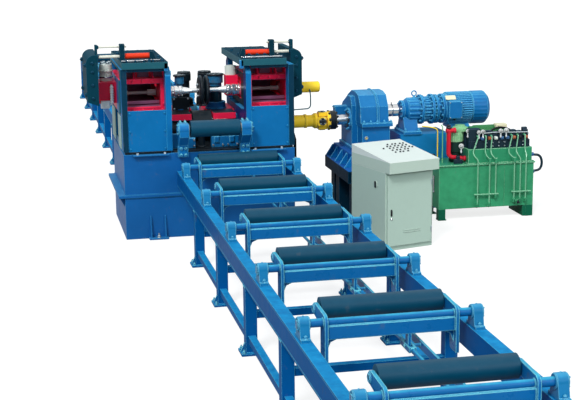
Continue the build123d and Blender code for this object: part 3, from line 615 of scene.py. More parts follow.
RAIL = Finish("rail_blue", linear(4, 86, 152), "blue_paint", edge=linear(110, 216, 238),
              dust_and_top_light=linear(38, 156, 214), dust_and_top_light_share=0.8, specular=0.02, coat=0.0,
              edge_radius=0.0045, edge_amount=0.8)
TEAL = Finish("cap_teal", linear(38, 94, 108), "dark_paint", edge=linear(110, 150, 165),
              specular=0.03, coat=0.0, dust_and_top_light_share=0.0,
              bands=(Band(1.6296, linear(12, 52, 68), roughness=0.6, axis=2),))
YOKE_DARK = Finish("yoke_dark", linear(6, 54, 78), "dark_paint", edge=linear(60, 130, 160),
                   specular=0.08, roughness=0.5, edge_amount=0.4)
PEDESTAL = Finish(
    "pedestal_dark", linear(0, 34, 52), "dark_paint", edge=linear(40, 120, 170), edge_amount=0.4,
    specular=0.05, roughness=0.5,
    bands=(Band(0.536, linear(14, 92, 172), axis=2), Band(1.946, linear(24, 124, 182))))
DARK = Finish("wheel_dark", linear(14, 26, 34), "dark_paint", edge=linear(110, 120, 126))
GUIDE = Finish("guide_blue", linear(0, 40, 56), "roller_steel", edge=linear(60, 110, 130),
               bands=(Band(1.30, linear(40, 112, 156), axis=2),))
ROLLER = Finish("roller_slate", linear(0, 66, 92), "roller_steel", edge=linear(60, 110, 130),
                roughness=0.42, drift=0.3, wear=0.25, edge_amount=0.3)
RED = Finish("carriage_red", linear(253, 34, 78), "red_paint", edge=linear(255, 120, 150))
PIPE_RED = Finish("pipe_red", linear(208, 30, 50), "red_paint", edge=linear(250, 100, 120))
# Carriage red whose band from x 0.3792 to 0.3812 paints shade on the right carriage's inner wall.
RED_RIGHT_SHADED = Finish("carriage_red_right_shaded", linear(253, 34, 78), "red_paint",
                   edge=linear(255, 120, 150), specular=0.03, coat=0.0, bands=(Band(0.3792, linear(20, 44, 54)),
                                                      Band(0.3812, linear(253, 34, 78))))
ORANGE = Finish("shift_orange", linear(232, 60, 30), "red_paint", edge=linear(255, 140, 90))
# Muted dark red for the inside of the carriage windows: painted shade.
WINDOW_SHADE = Finish("window_liner", linear(136, 84, 116), "red_paint", edge=linear(200, 150, 190))
YELLOW = Finish("shaft_yellow", linear(255, 218, 56), "yellow_paint", edge=linear(255, 240, 150))
DRIVE_YELLOW = Finish(
    "drive_yellow", linear(255, 214, 50), "yellow_paint", edge=linear(255, 236, 140),
    bands=(Band(1.264, linear(18, 26, 30)), Band(1.325, linear(205, 208, 210), 1.0, 0.22)))
ROLL_STEEL = Finish(
    "roll_dark", linear(58, 66, 72), "dark_paint", edge=linear(110, 120, 126), roughness=0.4,
    bands=(Band(-0.126, linear(16, 30, 38)), Band(0.126, linear(70, 78, 84))))
PALE = Finish("cylinder_grey", linear(230, 240, 232), "pale_grey_paint",
              edge=linear(240, 240, 236))
GREEN = Finish("tank_green", linear(52, 148, 104), "green_paint", edge=linear(150, 226, 180),
               dust_and_top_light=linear(150, 210, 160), dust_and_top_light_share=0.2, drift=0.95)
COVER_GREEN = Finish("cover_green", linear(44, 142, 100), "green_paint",
                     edge=linear(190, 236, 200), edge_radius=0.009, edge_amount=1.0)
DEEP_GREEN = Finish("leg_green", linear(14, 96, 70), "green_paint", edge=linear(90, 180, 140),
                    specular=0.08)
PUMP_GREEN = Finish(
    "pump_green", linear(20, 50, 44), "pump_green_paint", edge=linear(130, 190, 140),
    bands=(Band(2.55, linear(40, 120, 66)),))
PALE_GREEN = Finish("motor_pale_green", linear(120, 184, 130), "pump_green_paint",
                    edge=linear(226, 246, 214), edge_radius=0.004, edge_amount=1.0)
NAVY = Finish("valve_navy", linear(20, 42, 54), "navy_paint", edge=linear(80, 100, 130))
CONSOLE = Finish("console_shell", linear(174, 198, 186), "console_paint",
                 edge=linear(236, 240, 234), drift=0.1, wear=0.06, roughness=0.46,
                 dust_and_top_light_share=0.02)
# The band above z 0.8035 makes the lid's top face lighter than its skirt: painted top light.
LID = Finish("console_top", linear(184, 204, 192), "console_paint", edge=linear(244, 248, 244),
             drift=0.08, wear=0.04, roughness=0.46, dust_and_top_light_share=0.02,
             bands=(Band(0.8035, linear(216, 226, 222), 0.0, 0.46, 2),))
CHROME = Finish("hard_chrome", linear(218, 220, 222), "chrome_steel", edge=linear(250, 250, 250),
                metallic=1.0, roughness=0.16, coat=0.0, specular=0.5, drift=0.15, wear=0.15,
                dust_and_top_light_share=0.02)
BRIGHT = Finish("bright_fittings", linear(226, 230, 232), edge=linear(255, 255, 255),
                metallic=0.05, roughness=0.25, specular=0.5, drift=0.1, wear=0.1)
ZINC = Finish("bolt_zinc", linear(176, 190, 196), edge=linear(240, 244, 246), metallic=0.85,
              roughness=0.3, coat=0.0, wear=0.3)
STEEL = Finish("dull_steel", linear(120, 130, 134), edge=linear(190, 196, 198), metallic=0.6,
               roughness=0.4, coat=0.0, wear=0.3)
RUBBER = Finish("hose_black", linear(22, 24, 26), edge=linear(60, 62, 64), roughness=0.55,
                coat=0.0, wear=0.1, edge_amount=0.2)
BLACK = Finish("switch_black", linear(18, 19, 22), edge=linear(70, 72, 76), roughness=0.35)
CREAM = Finish("blank_plate", linear(232, 226, 190), edge=linear(250, 246, 230), roughness=0.4)
PIPE_GREEN = Finish("pipe_green", linear(112, 182, 142), "green_paint", edge=linear(190, 230, 204),
                    roughness=0.28, coat=0.3)
COIL_BLUE = Finish("coil_blue", linear(24, 72, 128), edge=linear(150, 200, 236))
COIL_ORANGE = Finish("coil_orange", linear(158, 82, 56), edge=linear(250, 170, 120))
LAMP_RED = Finish("lamp_red", linear(200, 30, 30), edge=linear(255, 140, 130), roughness=0.2)
LAMP_GREEN = Finish("lamp_green", linear(40, 150, 70), edge=linear(150, 230, 160), roughness=0.2)
LAMP_WHITE = Finish("dial_white", linear(240, 242, 240), edge=linear(255, 255, 255),
                    roughness=0.25, drift=0.05, wear=0.0)
WAY_PALE = Finish("way_pale", linear(150, 184, 176), edge=linear(220, 234, 226), metallic=0.2)


def spindle_finish(side: int) -> Finish:
    """Bright spindle whose two bearing blocks are red, banded along X."""
    bright, red = linear(244, 246, 246), linear(214, 20, 54)
    edges = sorted(side * x for x in (0.3799, 0.4251, 0.7569, 0.8021))
    shine = (0.0, 0.1, 0.0, 0.85)
    bands = tuple(Band(x, red if k % 2 == 0 else bright, shine[k], 0.4 if k % 2 == 0 else 0.2)
                  for k, x in enumerate(edges))
    return Finish(f"spindle_chrome_{'left' if side < 0 else 'right'}", bright, "chrome_steel",
                  edge=linear(250, 250, 250), metallic=0.85, roughness=0.2, specular=0.5,
                  drift=0.12, wear=0.1, dust_and_top_light_share=0.0, bands=bands)


def yoke_finish(side: int) -> Finish:
    """Dark yoke plate whose rods over the cap are pale, banded along X."""
    dark, rod = linear(10, 58, 74), linear(226, 226, 212)
    name = f"yoke_{'left' if side < 0 else 'right'}"
    first, then, start = (dark, rod, -0.982) if side < 0 else (rod, dark, 0.80)
    return Finish(name, first, "dark_paint", edge=linear(60, 130, 160), specular=0.02,
                  roughness=0.5, edge_amount=0.4, bands=(Band(start, then),))


def put(name: str, shell: Shell, finish: Finish, body: str = "machine",
        smooth: float = 40.0) -> bpy.types.Object:
    """Makes a piece of the object from a shell.

    Args:
        name: the piece's name.
        shell: its surface, in place.
        finish: its finish.
        body: the CAD body that it rides on.
        smooth: edges sharper than so many degrees stay sharp.

    Returns:
        The new object, riding on the body.
    """
    mesh = bpy.data.meshes.new(name)
    faces = shell.quads.tolist() + [end.tolist() for end in shell.ends]
    mesh.from_pydata(shell.points.tolist(), [], faces)
    mesh.polygons.foreach_set("use_smooth", np.ones(len(faces), bool))
    mesh.update()
    mesh.set_sharp_from_angle(angle=math.radians(smooth))
    mesh.materials.append(finish.material())
    made = bpy.data.objects.new(name, mesh)
    bpy.context.scene.collection.objects.link(made)
    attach(made, body)
    log.info("%s: %d faces on %s", name, len(faces), body)
    return made


def dress(finish: Finish, *nodes: str) -> None:
    """Gives CAD nodes a finish through their material slots."""
    for name in nodes:
        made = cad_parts[name]
        if not made.material_slots:
            made.data.materials.append(finish.material())
        for place in made.material_slots:
            place.material = finish.material()


# ---- sub-assemblies -------------------------------------------------------------------


@dataclass
class PressTowers:
    """Base, towers and caps with their fasteners and small pipes."""

    half_x: float = 0.795
    half_y: float = 0.56
    base_top: float = 0.79
    panel_y: float = 0.554
    cap_top: float = 1.63
    cap_front: float = -0.575

    def build(self) -> None:
        """Adds the tower's own small parts."""
        self.base_parts()
        self.tower_parts()
        self.cap_parts()

    def base_parts(self) -> None:
        """Foot brackets, anchor bolts, weld beads and the gussets under the ledge."""
        anchor = hex_bolt(0.03, 0.018, 0.004, 0.02)
        brackets, bolts, beads = [], [], []
        for x in (-0.5, 0.5):
            for side, facing in ((-1, Facing.FRONT), (1, Facing.BACK)):
                y = side * self.half_y
                rib = plate([(0, 0), (0.05, 0), (0.012, 0.20), (0, 0.20)], 0.012)
                rib = rib.turned([[0, 0, 1], [side, 0, 0], [0, 1, 0]])
                brackets += [rib.moved(x + dx, y, 0.014) for dx in (-0.072, 0.06)]
                low = (x - 0.09, min(y, y + side * 0.075), 0.0)
                brackets.append(box(low, (x + 0.09, max(y, y + side * 0.075), 0.014), 0.006))
                bolts.append([x, y + side * 0.045, 0.014])
        put("base_foot_brackets", joined(brackets), BASE_BLUE)
        put("base_anchor_bolts", anchor.copied(bolts), ZINC)
        gusset = plate([(0, 0), (0, -0.09), (0.052, 0)], 0.01)
        left = gusset.turned([[-1, 0, 0], [0, 0, 1], [0, 1, 0]])
        right = gusset.turned([[1, 0, 0], [0, 0, -1], [0, 1, 0]])
        ys = np.linspace(-0.5, 0.5, 5)
        places = np.column_stack([np.zeros(5), ys, np.full(5, 0.39)])
        put("ledge_gussets", joined([left.moved(-self.half_x, 0, 0).copied(places),
                                     right.moved(self.half_x, 0.01, 0).copied(places)]), BASE_BLUE)
        x, y = self.half_x, self.half_y
        for z in (0.419, 0.386):
            beads += [weld((-x, -y - 0.001, z), (x, -y - 0.001, z)),
                      weld((-x, y + 0.001, z), (x, y + 0.001, z)),
                      weld((-x - 0.001, -y, z), (-x - 0.001, y, z)),
                      weld((x + 0.001, -y, z), (x + 0.001, y, z))]
        put("base_weld_beads", joined(beads), BASE_BLUE)

    def tower_parts(self) -> None:
        """Bolts on the plinths, panels and bearing bosses, and seams of the panels."""
        bolt = hex_bolt(0.024, 0.014, 0.003)
        small = hex_bolt(0.014, 0.008, 0.002)
        bolts, painted, seams, shadow_gaps = [], [], [], []
        for side in (-1, 1):
            low, high = sorted((side * 0.36, side * 0.78))
            # Dark strips under the front and back panels: painted shadow in the gap at the plinth.
            shadow_gaps += [box((low, y0, 0.7905), (high, y0 + 0.004, 0.812), 0.0015, 0.001)
                     for y0 in (-0.5525, 0.5485)]
            xs = [side * 0.67, side * 0.42]
            front = grid_places(xs, [0.0], [0.0])
            bolts.append(bolt.copied(front + np.array([0, -0.578, self.base_top])))
            bolts.append(bolt.copied(front + np.array([0, 0.578, self.base_top])))
            for y, facing in ((-self.panel_y, Facing.FRONT), (self.panel_y, Facing.BACK)):
                spots = grid_places([side * 0.41, side * 0.73], [y], [0.84, 1.0, 1.165])
                painted.append(small.faced(facing).copied(spots))
            for y in (-self.panel_y - 0.001, self.panel_y + 0.001):
                seams += [weld((side * 0.395, y, z0), (side * 0.395, y, z0 + 0.06), 0.003)
                          for z0 in (0.86, 1.04)]
                seams += [weld((side * 0.745, y, z0), (side * 0.745, y, z0 + 0.06), 0.003)
                          for z0 in (0.86, 1.04)]
        foot = box((-0.71, -0.6, 0.776), (-0.38, -0.556, 0.79), 0.004)
        feet = joined([foot, foot.moved(1.09, 0, 0), foot.moved(0, 1.156, 0),
                       foot.moved(1.09, 1.156, 0)])
        put("tower_foot_bolts", joined(bolts), ZINC)
        put("tower_panel_bolts", joined(painted), TOWER_BLUE)
        put("tower_foot_shadow_gaps", joined(shadow_gaps), DARK)
        put("tower_foot_strips", feet, BASE_BLUE)
        put("tower_seams", joined(seams), TOWER_BLUE)
        ring = hex_bolt(0.018, 0.011, 0.003).copied(bolt_circle(0.082, 8, 0.3))
        rings = [ring.faced(Facing.RIGHT if side > 0 else Facing.LEFT).moved(side * 0.415, 0, 0.945)
                 for side in (-1, 1)]
        rings += [ring.faced(Facing.LEFT if side > 0 else Facing.RIGHT).moved(side * 0.325, 0, 0.945)
                  for side in (-1, 1)]
        put("boss_bolts", joined(rings), ZINC)
        ways, edges, shadow_lintels = [], [], []
        for side in (-1, 1):
            x = side * self.half_x
            low, high = sorted((x, x + side * 0.008))
            for y0, y1 in ((-0.42, -0.152), (0.152, 0.50)):
                ways.append(box((low, y0, 0.82), (high, y1, 1.13), 0.003))
            # Dark strips on the front and back edges of the outer plates: painted shade.
            low, high = sorted((x, x - side * 0.049))
            edges += [box((low, -0.563, 0.816), (high, -0.559, 1.568), 0.001, 0.0008),
                      box((low, 0.559, 0.816), (high, 0.563, 1.568), 0.001, 0.0008)]
            # Dark strip under the front of each cap: painted shadow cast by the cap.
            low, high = sorted((side * 0.395, side * 0.745))
            shadow_lintels.append(box((low, -0.553, 1.542), (high, -0.528, 1.5695), 0.003))
        put("outer_way_strips", joined(ways), WAY_PALE)
        put("tower_edge_shade_strips", joined(edges), YOKE_DARK)
        tops = [box((min(side * 0.7955, side * 0.7995), y0, z0),
                    (max(side * 0.7955, side * 0.7995), y1, 1.566), 0.0015, 0.001)
                for side in (-1, 1)
                for y0, y1, z0 in ((-0.556, -0.432, 1.478), (-0.431, 0.431, 1.546),
                                   (0.432, 0.556, 1.478))]
        put("tower_top_strips", joined(tops), TEAL)
        put("cap_shadow_lintels", joined(shadow_lintels), YOKE_DARK)

    def cap_parts(self) -> None:
        """Oil pipes, clamps, nuts and lifting teeth on the two cap plates."""
        z, y = self.cap_top, self.cap_front
        pipes = [pipe([(-0.78, y + 0.05, z + 0.012), (-0.735, y + 0.02, z + 0.014),
                       (-0.585, y + 0.02, z + 0.016), (-0.575, y + 0.06, z + 0.016),
                       (-0.45, y + 0.06, z + 0.014)], 0.006, 0.02),
                 pipe([(-0.77, y + 0.11, z + 0.01), (-0.62, y + 0.1, z + 0.01),
                       (-0.42, y + 0.1, z + 0.01)], 0.005, 0.02),
                 pipe([(0.33, y + 0.05, z + 0.012), (0.41, y + 0.03, z + 0.014),
                       (0.69, y + 0.03, z + 0.014)], 0.006, 0.02),
                 pipe([(0.32, y + 0.1, z + 0.01), (0.7, y + 0.1, z + 0.01)], 0.005, 0.02)]
        put("cap_oil_pipes", joined(pipes), CHROME)
        teeth, nuts, low = [], [], []
        for x in (0.394, 0.47, 0.54):
            tooth = plate([(0, 0), (0.04, 0), (0.04, 0.014), (0.018, 0.034), (0, 0.034)], 0.02)
            teeth.append(tooth.turned([[1, 0, 0], [0, 0, -1], [0, 1, 0]]).moved(x, y + 0.17, z))
        for x in (-0.74, -0.66, -0.58, -0.50, -0.42):
            teeth.append(box((x - 0.008, y + 0.004, z), (x + 0.008, y + 0.12, z + 0.02), 0.004))
        put("cap_pipe_clamps", joined(teeth), YOKE_DARK)
        for xs in ((-0.755, -0.63, -0.53, -0.413), (0.345, 0.44, 0.59, 0.69)):
            nuts.append(grid_places(xs, [-0.52], [z]))
            low.append(grid_places(xs, [0.52], [z]))
            nuts.append(grid_places(xs[::3], [-0.2, 0.2], [z]))
        put("cap_bolts", joined([hex_bolt(0.027, 0.016, 0.004, 0.004).copied(np.concatenate(nuts)),
                                 hex_bolt(0.027, 0.004, 0.002).copied(np.concatenate(low))]), YOKE_DARK)
        corner = box((-0.405, y - 0.0, 1.545), (-0.37, y + 0.05, z - 0.01), 0.004)
        put("cap_corner_blocks", joined([corner, corner.moved(0.695, 0, 0)]), BLUE)


@dataclass
class Carriages:
    """Dressing of the two sliding carriages, their yokes, spindles and wheels."""

    spin_z: float = 1.285
    wall_in: float = 0.38
    wall_out: float = 0.802
    front_y: float = -0.42

    def build(self) -> None:
        """Adds the carriage parts on both sides."""
        for side, body in ((-1, "left_carriage"), (1, "right_carriage")):
            self.fasteners(side, body)
            self.yoke_parts(side, body)
            self.spindle_parts(side)
        self.left_fittings()

    def fasteners(self, side: int, body: str) -> None:
        """Bolts on the front edges, the inner bar and the weld beads of one carriage; the bar, the window
        lining and the back panels carry painted shade.
        """
        bolt = hex_bolt(0.016, 0.01, 0.002)
        xs = np.linspace(0.41, 0.77, 5) * side
        spots = np.concatenate([grid_places(xs, [self.front_y], [1.178, 1.441]),
                                grid_places([side * 0.402, side * 0.78], [self.front_y],
                                            [1.23, 1.40])])
        put(f"{body}_bolts", bolt.faced(Facing.FRONT).copied(spots), RED, body)
        inner, outer = sorted((side * 0.427, side * 0.755))
        # Inner bar and the lining of the window, coloured as painted shade.
        bar = box((inner, -0.33, 1.222), (outer, -0.29, 1.25), 0.006)
        floor = box((inner, -0.40, 1.2065), (outer, 0.38, 1.212), 0.003)
        roof = box((inner, -0.40, 1.4145), (outer, 0.38, 1.4195), 0.003)
        back = box((inner, 0.375, 1.2125), (outer, 0.3895, 1.414), 0.003)
        put(f"{body}_liner", joined([bar, floor, roof, back]), WINDOW_SHADE, body)
        lip = box((inner, -0.424, 1.19), (outer, -0.4, 1.2065), 0.004)
        put(f"{body}_sill", lip, RED, body)
        # Back panels, coloured as painted shade.
        panels = [box((side * x - 0.052, -0.304, 1.466), (side * x + 0.052, -0.2905, 1.528), 0.004)
                  for x in (0.438, 0.5695, 0.697)]
        put(f"{body}_back_panels", joined(panels), WINDOW_SHADE, body)
        beads = [weld((side * 0.39, -0.4, 1.463), (side * 0.75, -0.4, 1.463), 0.003),
                 weld((side * 0.39, -0.297, 1.463), (side * 0.75, -0.297, 1.463), 0.003)]
        put(f"{body}_beads", joined(beads), RED, body)

    def yoke_parts(self, side: int, body: str) -> None:
        """Nuts of the rods and bolts on one yoke plate."""
        box_low, box_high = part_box("yoke_left" if side < 0 else "yoke_right")
        outer = box_low.x if side < 0 else box_high.x
        inner = outer - side * 0.106
        out = Facing.LEFT if side < 0 else Facing.RIGHT
        nut = hex_bolt(0.034, 0.014, 0.003, 0.006)
        spots = grid_places([outer], [-0.36, 0.16], [1.33, 1.6])
        put(f"{body}_yoke_nuts", nut.faced(out).copied(spots), YOKE_DARK, body)
        bolt = hex_bolt(0.02, 0.012, 0.003).faced(Facing.FRONT)
        mid = (inner + outer) / 2
        spots = grid_places([mid], [-0.4], [1.3, 1.42, 1.54, 1.62])
        put(f"{body}_yoke_bolts", bolt.copied(spots), YOKE_DARK, body)
        post = hex_bolt(0.03, 0.01, 0.003).faced(Facing.LEFT if side > 0 else Facing.RIGHT)
        put(f"{body}_rod_nuts", post.copied([[inner, -0.36, 1.67], [inner, -0.36, 1.758]]), YOKE_DARK,
            body)

    def spindle_parts(self, side: int) -> None:
        """Lock nut and the screws of the bearing blocks on one spindle, and the bolts of its press wheel."""
        body = "left_spindle" if side < 0 else "right_spindle"
        wheel = "left_press_wheel" if side < 0 else "right_press_wheel"
        stack = 0.18 if side < 0 else 0.265
        facing = Facing.LEFT if side < 0 else Facing.RIGHT
        screws = hex_bolt(0.014, 0.008, 0.002).copied(bolt_circle(0.044, 6)).faced(
            Facing.RIGHT if side < 0 else Facing.LEFT)
        put(f"{body}_stack_screws", screws.moved(side * stack, 0, self.spin_z), ZINC, body)
        t = np.linspace(0, 2 * math.pi, 48, endpoint=False)
        grip = 0.046 + 0.003 * np.sign(np.sin(t * 12))
        rows = np.array([0.0, 0.004, 0.022, 0.026])
        shrink = np.array([0.9, 1.0, 1.0, 0.9])
        r = shrink[:, None] * grip
        nut = skin(np.stack([r * np.cos(t), r * np.sin(t), np.broadcast_to(rows[:, None], r.shape)],
                            axis=-1))
        put(f"{body}_lock_nut", nut.faced(facing).moved(side * (stack + 0.074), 0, self.spin_z),
            CHROME, body)
        ring = hex_bolt(0.016, 0.009, 0.002).copied(bolt_circle(0.062, 6, 0.2))
        edge = -0.023 if side < 0 else 0.077
        put(f"{wheel}_bolts", ring.faced(facing).moved(edge, 0, self.spin_z), ZINC, wheel)

    def left_fittings(self) -> None:
        """Chrome hydraulic block and chain of unions beside the left press cylinder."""
        block = box((-0.956, -0.205, 1.174), (-0.87, -0.152, 1.243), 0.006)
        ears = [box((x, -0.209, 1.186), (x + 0.022, -0.204, 1.232), 0.004) for x in (-0.948, -0.9)]
        union = hex_bolt(0.03, 0.014, 0.002, 0.006)
        stems = [union.moved(-0.852, -0.18, z) for z in np.arange(1.222, 1.37, 0.0235)]
        elbow = pipe([(-0.88, -0.18, 1.208), (-0.852, -0.18, 1.208), (-0.852, -0.18, 1.392)], 0.01,
                     0.012)
        put("left_oil_block", joined([block, *ears, elbow, *stems]), BRIGHT, "left_carriage")
        cover = box((-0.8072, -0.37, 1.154), (-0.8025, -0.158, 1.46), 0.0015, 0.001)
        upper = box((-0.8072, -0.157, 1.412), (-0.8025, 0.418, 1.46), 0.0015, 0.001)
        put("left_side_cover", joined([cover, upper]), BASE_BLUE, "left_carriage")
        front = box((-0.8072, -0.4185, 1.154), (-0.8025, -0.371, 1.46), 0.0015, 0.001)
        column = box((-0.8072, -0.4265, 1.154), (-0.757, -0.4205, 1.46), 0.002, 0.001)
        put("left_side_edge", joined([front, column]), TEAL, "left_carriage")
        oil = pipe([(1.06, -0.05, 1.262), (1.064, -0.07, 1.20), (1.064, -0.07, 1.10),
                    (1.04, -0.08, 1.078), (0.87, -0.12, 1.078), (0.855, -0.12, 1.10),
                    (0.855, -0.12, 1.262)], 0.006, 0.018)
        put("end_cylinder_pipe", oil, TEAL, "right_carriage")
        strap = ring_part([(0, 0.061), (0, 0.0655), (0.012, 0.0655), (0.012, 0.061)], 40)
        put("press_cylinder_strap", strap.moved(-0.887, 0, 1.44), CHROME, "left_carriage")
        eye = hex_bolt(0.03, 0.02, 0.004).copied(bolt_circle(0.04, 4, 0.4))
        put("press_cylinder_bolts", eye.moved(-0.887, 0, 1.566), ZINC, "left_carriage")


@dataclass
class RollStand:
    """Guide rollers, entry roller, feed blocks and conduits between and beside the towers."""

    roll_z: float = 0.945
    guide_top: float = 1.402
    entry: tuple[float, float, float] = (0.034, -0.66, 1.022)
    post_x: float = 0.287
    post_half: float = 0.044

    def build(self) -> None:
        """Adds everything that belongs to the middle of the machine."""
        self.roller_tops()
        self.housings()
        self.guards()
        self.entry_bearings()
        self.feed_blocks()
        self.conduits()

    def roller_tops(self) -> None:
        """Bearing cover, screws and centre nut on top of each upright roller."""
        for body, x, y, radius, finish in (
                ("front_left_guide", -0.172, 0.2, 0.045, ROLLER),
                ("front_right_guide", 0.178, 0.2, 0.075, ROLLER),
                ("rear_left_guide", -0.093, 0.45, 0.068, DARK),
                ("rear_right_guide", 0.11, 0.45, 0.068, DARK)):
            rim = radius * 0.96 if finish is DARK else radius * 0.8 + 0.024
            cover = turned_part([(0, rim), (0.012, rim), (0.015, rim * 0.95), (0.015, rim * 0.8),
                                 (0.012, rim * 0.78), (0.012, rim * 0.3)])
            screws = hex_bolt(0.012, 0.005, 0.0015).copied(bolt_circle(rim * 0.6, 6)).moved(
                0, 0, 0.0115)
            nut = hex_bolt(0.022, 0.008, 0.002, 0.003).moved(0, 0, 0.0115)
            put(f"{body}_cover", cover.moved(x, y, self.guide_top), DARK, body)
            put(f"{body}_screws", joined([screws, nut]).moved(x, y, self.guide_top), STEEL, body)

    def housings(self) -> None:
        """Bearing housings round the feet of the guide rollers, and the trays on the arms."""
        shell = ring_part([(0, 0.079), (0, 0.102), (0.012, 0.102), (0.014, 0.096), (0.066, 0.096),
                           (0.072, 0.09), (0.072, 0.079)], 40)
        small = ring_part([(0, 0.049), (0, 0.068), (0.012, 0.068), (0.014, 0.062), (0.05, 0.062),
                           (0.055, 0.058), (0.055, 0.049)], 36)
        put("guide_housings", joined([shell.moved(0.178, 0.2, 1.0785),
                                      small.moved(-0.172, 0.2, 1.0785)]), BASE_BLUE)
        trays = [box((0.108, -0.116, 1.0785), (0.317, 0.092, 1.0835), 0.003, 0.001),
                 box((-0.317, -0.116, 1.0785), (-0.108, 0.125, 1.0835), 0.003, 0.001)]
        put("arm_trays", joined(trays), DARK)
        rear = ring_part([(0, 0.0735), (0, 0.092), (0.012, 0.092), (0.014, 0.086), (0.07, 0.086),
                          (0.076, 0.082), (0.076, 0.0735)], 40)
        put("rear_housings", joined([rear.moved(-0.093, 0.45, 1.0785),
                                     rear.moved(0.11, 0.45, 1.0785)]), DARK)

    def guards(self) -> None:
        """Dark guard in front of the left guide rollers, and a dark tray on the base whose colour paints the
        shade between the towers.
        """
        upright = [[1, 0, 0], [0, 0, -1], [0, 1, 0]]
        guard = plate(round_corners(0.165, 0.124, 0.012), 0.012).turned(upright)
        cheek = plate([(0, 0), (0.045, 0), (0.012, 0.12), (0, 0.12)], 0.008)
        cheek = cheek.turned([[0, 0, 1], [1, 0, 0], [0, 1, 0]])
        put("guide_guard", joined([guard.moved(-0.1675, 0.149, 1.1425),
                                   cheek.moved(-0.25, 0.149, 1.0795),
                                   cheek.moved(-0.093, 0.149, 1.0795)]), DARK)
        bolts = hex_bolt(0.014, 0.008, 0.002).faced(Facing.FRONT).copied(
            grid_places([-0.235, -0.1], [0.137], [1.095, 1.19]))
        put("guide_guard_bolts", bolts, ZINC)
        # Dark tray with lips on the base top between the towers: painted shade.
        tray = plate(round_corners(0.676, 1.08, 0.02), 0.004).moved(0, 0, 0.79)
        lips = [box((-0.338, y, 0.79), (0.338, y + 0.006, 0.806), 0.002) for y in (-0.54, 0.534)]
        put("painted_shade_tray", joined([tray, *lips]), DARK)

    def entry_bearings(self) -> None:
        """Covers, screws, cap bolts and collars of the entry roller's bearings."""
        x, y, z = self.entry
        cover = turned_part([(0, 0.051), (0.005, 0.051), (0.008, 0.048), (0.008, 0.037),
                             (0.014, 0.035), (0.018, 0.03), (0.018, 0.012), (0.016, 0.009)], 36)
        collar = ring_part([(0, 0.0245), (0, 0.04), (0.006, 0.04), (0.006, 0.0245)], 36)
        screws = hex_bolt(0.013, 0.008, 0.002).copied(bolt_circle(0.0425, 6)).moved(0, 0, 0.0075)
        covers, rings, heads = [], [], []
        for side, out, back in ((-1, Facing.LEFT, Facing.RIGHT), (1, Facing.RIGHT, Facing.LEFT)):
            outer = x + side * (self.post_x + self.post_half)
            inner = x + side * (self.post_x - self.post_half)
            covers.append(cover.faced(out).moved(outer, y, z))
            rings.append(collar.faced(back).moved(inner, y, z))
            heads.append(screws.faced(out).moved(outer, y, z))
            cap = hex_bolt(0.02, 0.012, 0.003, 0.008)
            heads.append(cap.copied(grid_places(
                [x + side * self.post_x - 0.022, x + side * self.post_x + 0.022],
                [-0.632, -0.585], [z + 0.048])))
            foot = hex_bolt(0.022, 0.013, 0.003).faced(Facing.FRONT)
            heads.append(foot.copied(grid_places(
                [x + side * self.post_x - 0.02, x + side * self.post_x + 0.02], [-0.604],
                [0.775, 0.835])))
        put("entry_bearing_covers", joined(covers), TABLE_BLUE)
        put("entry_collars", joined(rings), LAMP_WHITE)
        put("entry_bolts", joined(heads), TABLE_BLUE)
        seams = [weld((x + side * self.post_x + edge, -0.5615, 0.757),
                      (x + side * self.post_x + edge, -0.5615, 0.86))
                 for side in (-1, 1) for edge in (-self.post_half, self.post_half)]
        put("entry_post_seams", joined(seams), BLUE)

    def feed_blocks(self) -> None:
        """Bearing blocks of the feed between the entry roller and the main roll."""
        blocks = [box((0.045, -0.37, 0.792), (0.305, -0.30, 0.90), 0.01, 0.004),
                  box((0.07, -0.385, 0.84), (0.115, -0.369, 0.895), 0.006),
                  box((0.215, -0.385, 0.84), (0.26, -0.369, 0.895), 0.006),
                  box((-0.205, -0.37, 0.792), (-0.105, -0.30, 0.888), 0.01, 0.004),
                  box((-0.335, -0.345, 0.792), (-0.26, -0.30, 0.93), 0.008, 0.004)]
        put("feed_blocks", joined(blocks), BLUE)
        spots = [[0.06, -0.37, 0.815], [0.15, -0.37, 0.815], [0.20, -0.37, 0.815],
                 [0.29, -0.37, 0.815], [-0.19, -0.37, 0.815], [-0.12, -0.37, 0.815],
                 [-0.19, -0.37, 0.87], [-0.12, -0.37, 0.87]]
        put("feed_block_bolts", hex_bolt(0.016, 0.01, 0.002).faced(Facing.FRONT).copied(spots),
            ZINC)
        stem = turned_part([(0, 0.042), (0.012, 0.042), (0.014, 0.03), (0.115, 0.03),
                            (0.118, 0.036), (0.132, 0.036), (0.136, 0.028)], 28)
        put("feed_jack", stem.moved(-0.045, -0.33, 0.794), DARK)

    def conduits(self) -> None:
        """Bundle of dark conduits up the right side of the base, with its clamps."""
        pipes = [pipe([(0.812, y, 0.416), (0.812, y, 0.87 + 0.012 * k), (0.79, y, 0.87 + 0.012 * k)],
                      0.0085, 0.016) for k, y in enumerate((-0.532, -0.512, -0.492, -0.472))]
        put("side_conduits", joined(pipes), RUBBER)
        clamps = [box((0.794, -0.55, z), (0.8235, -0.455, z + 0.016), 0.004) for z in (0.52, 0.68)]
        put("conduit_clamps", joined(clamps), ZINC)


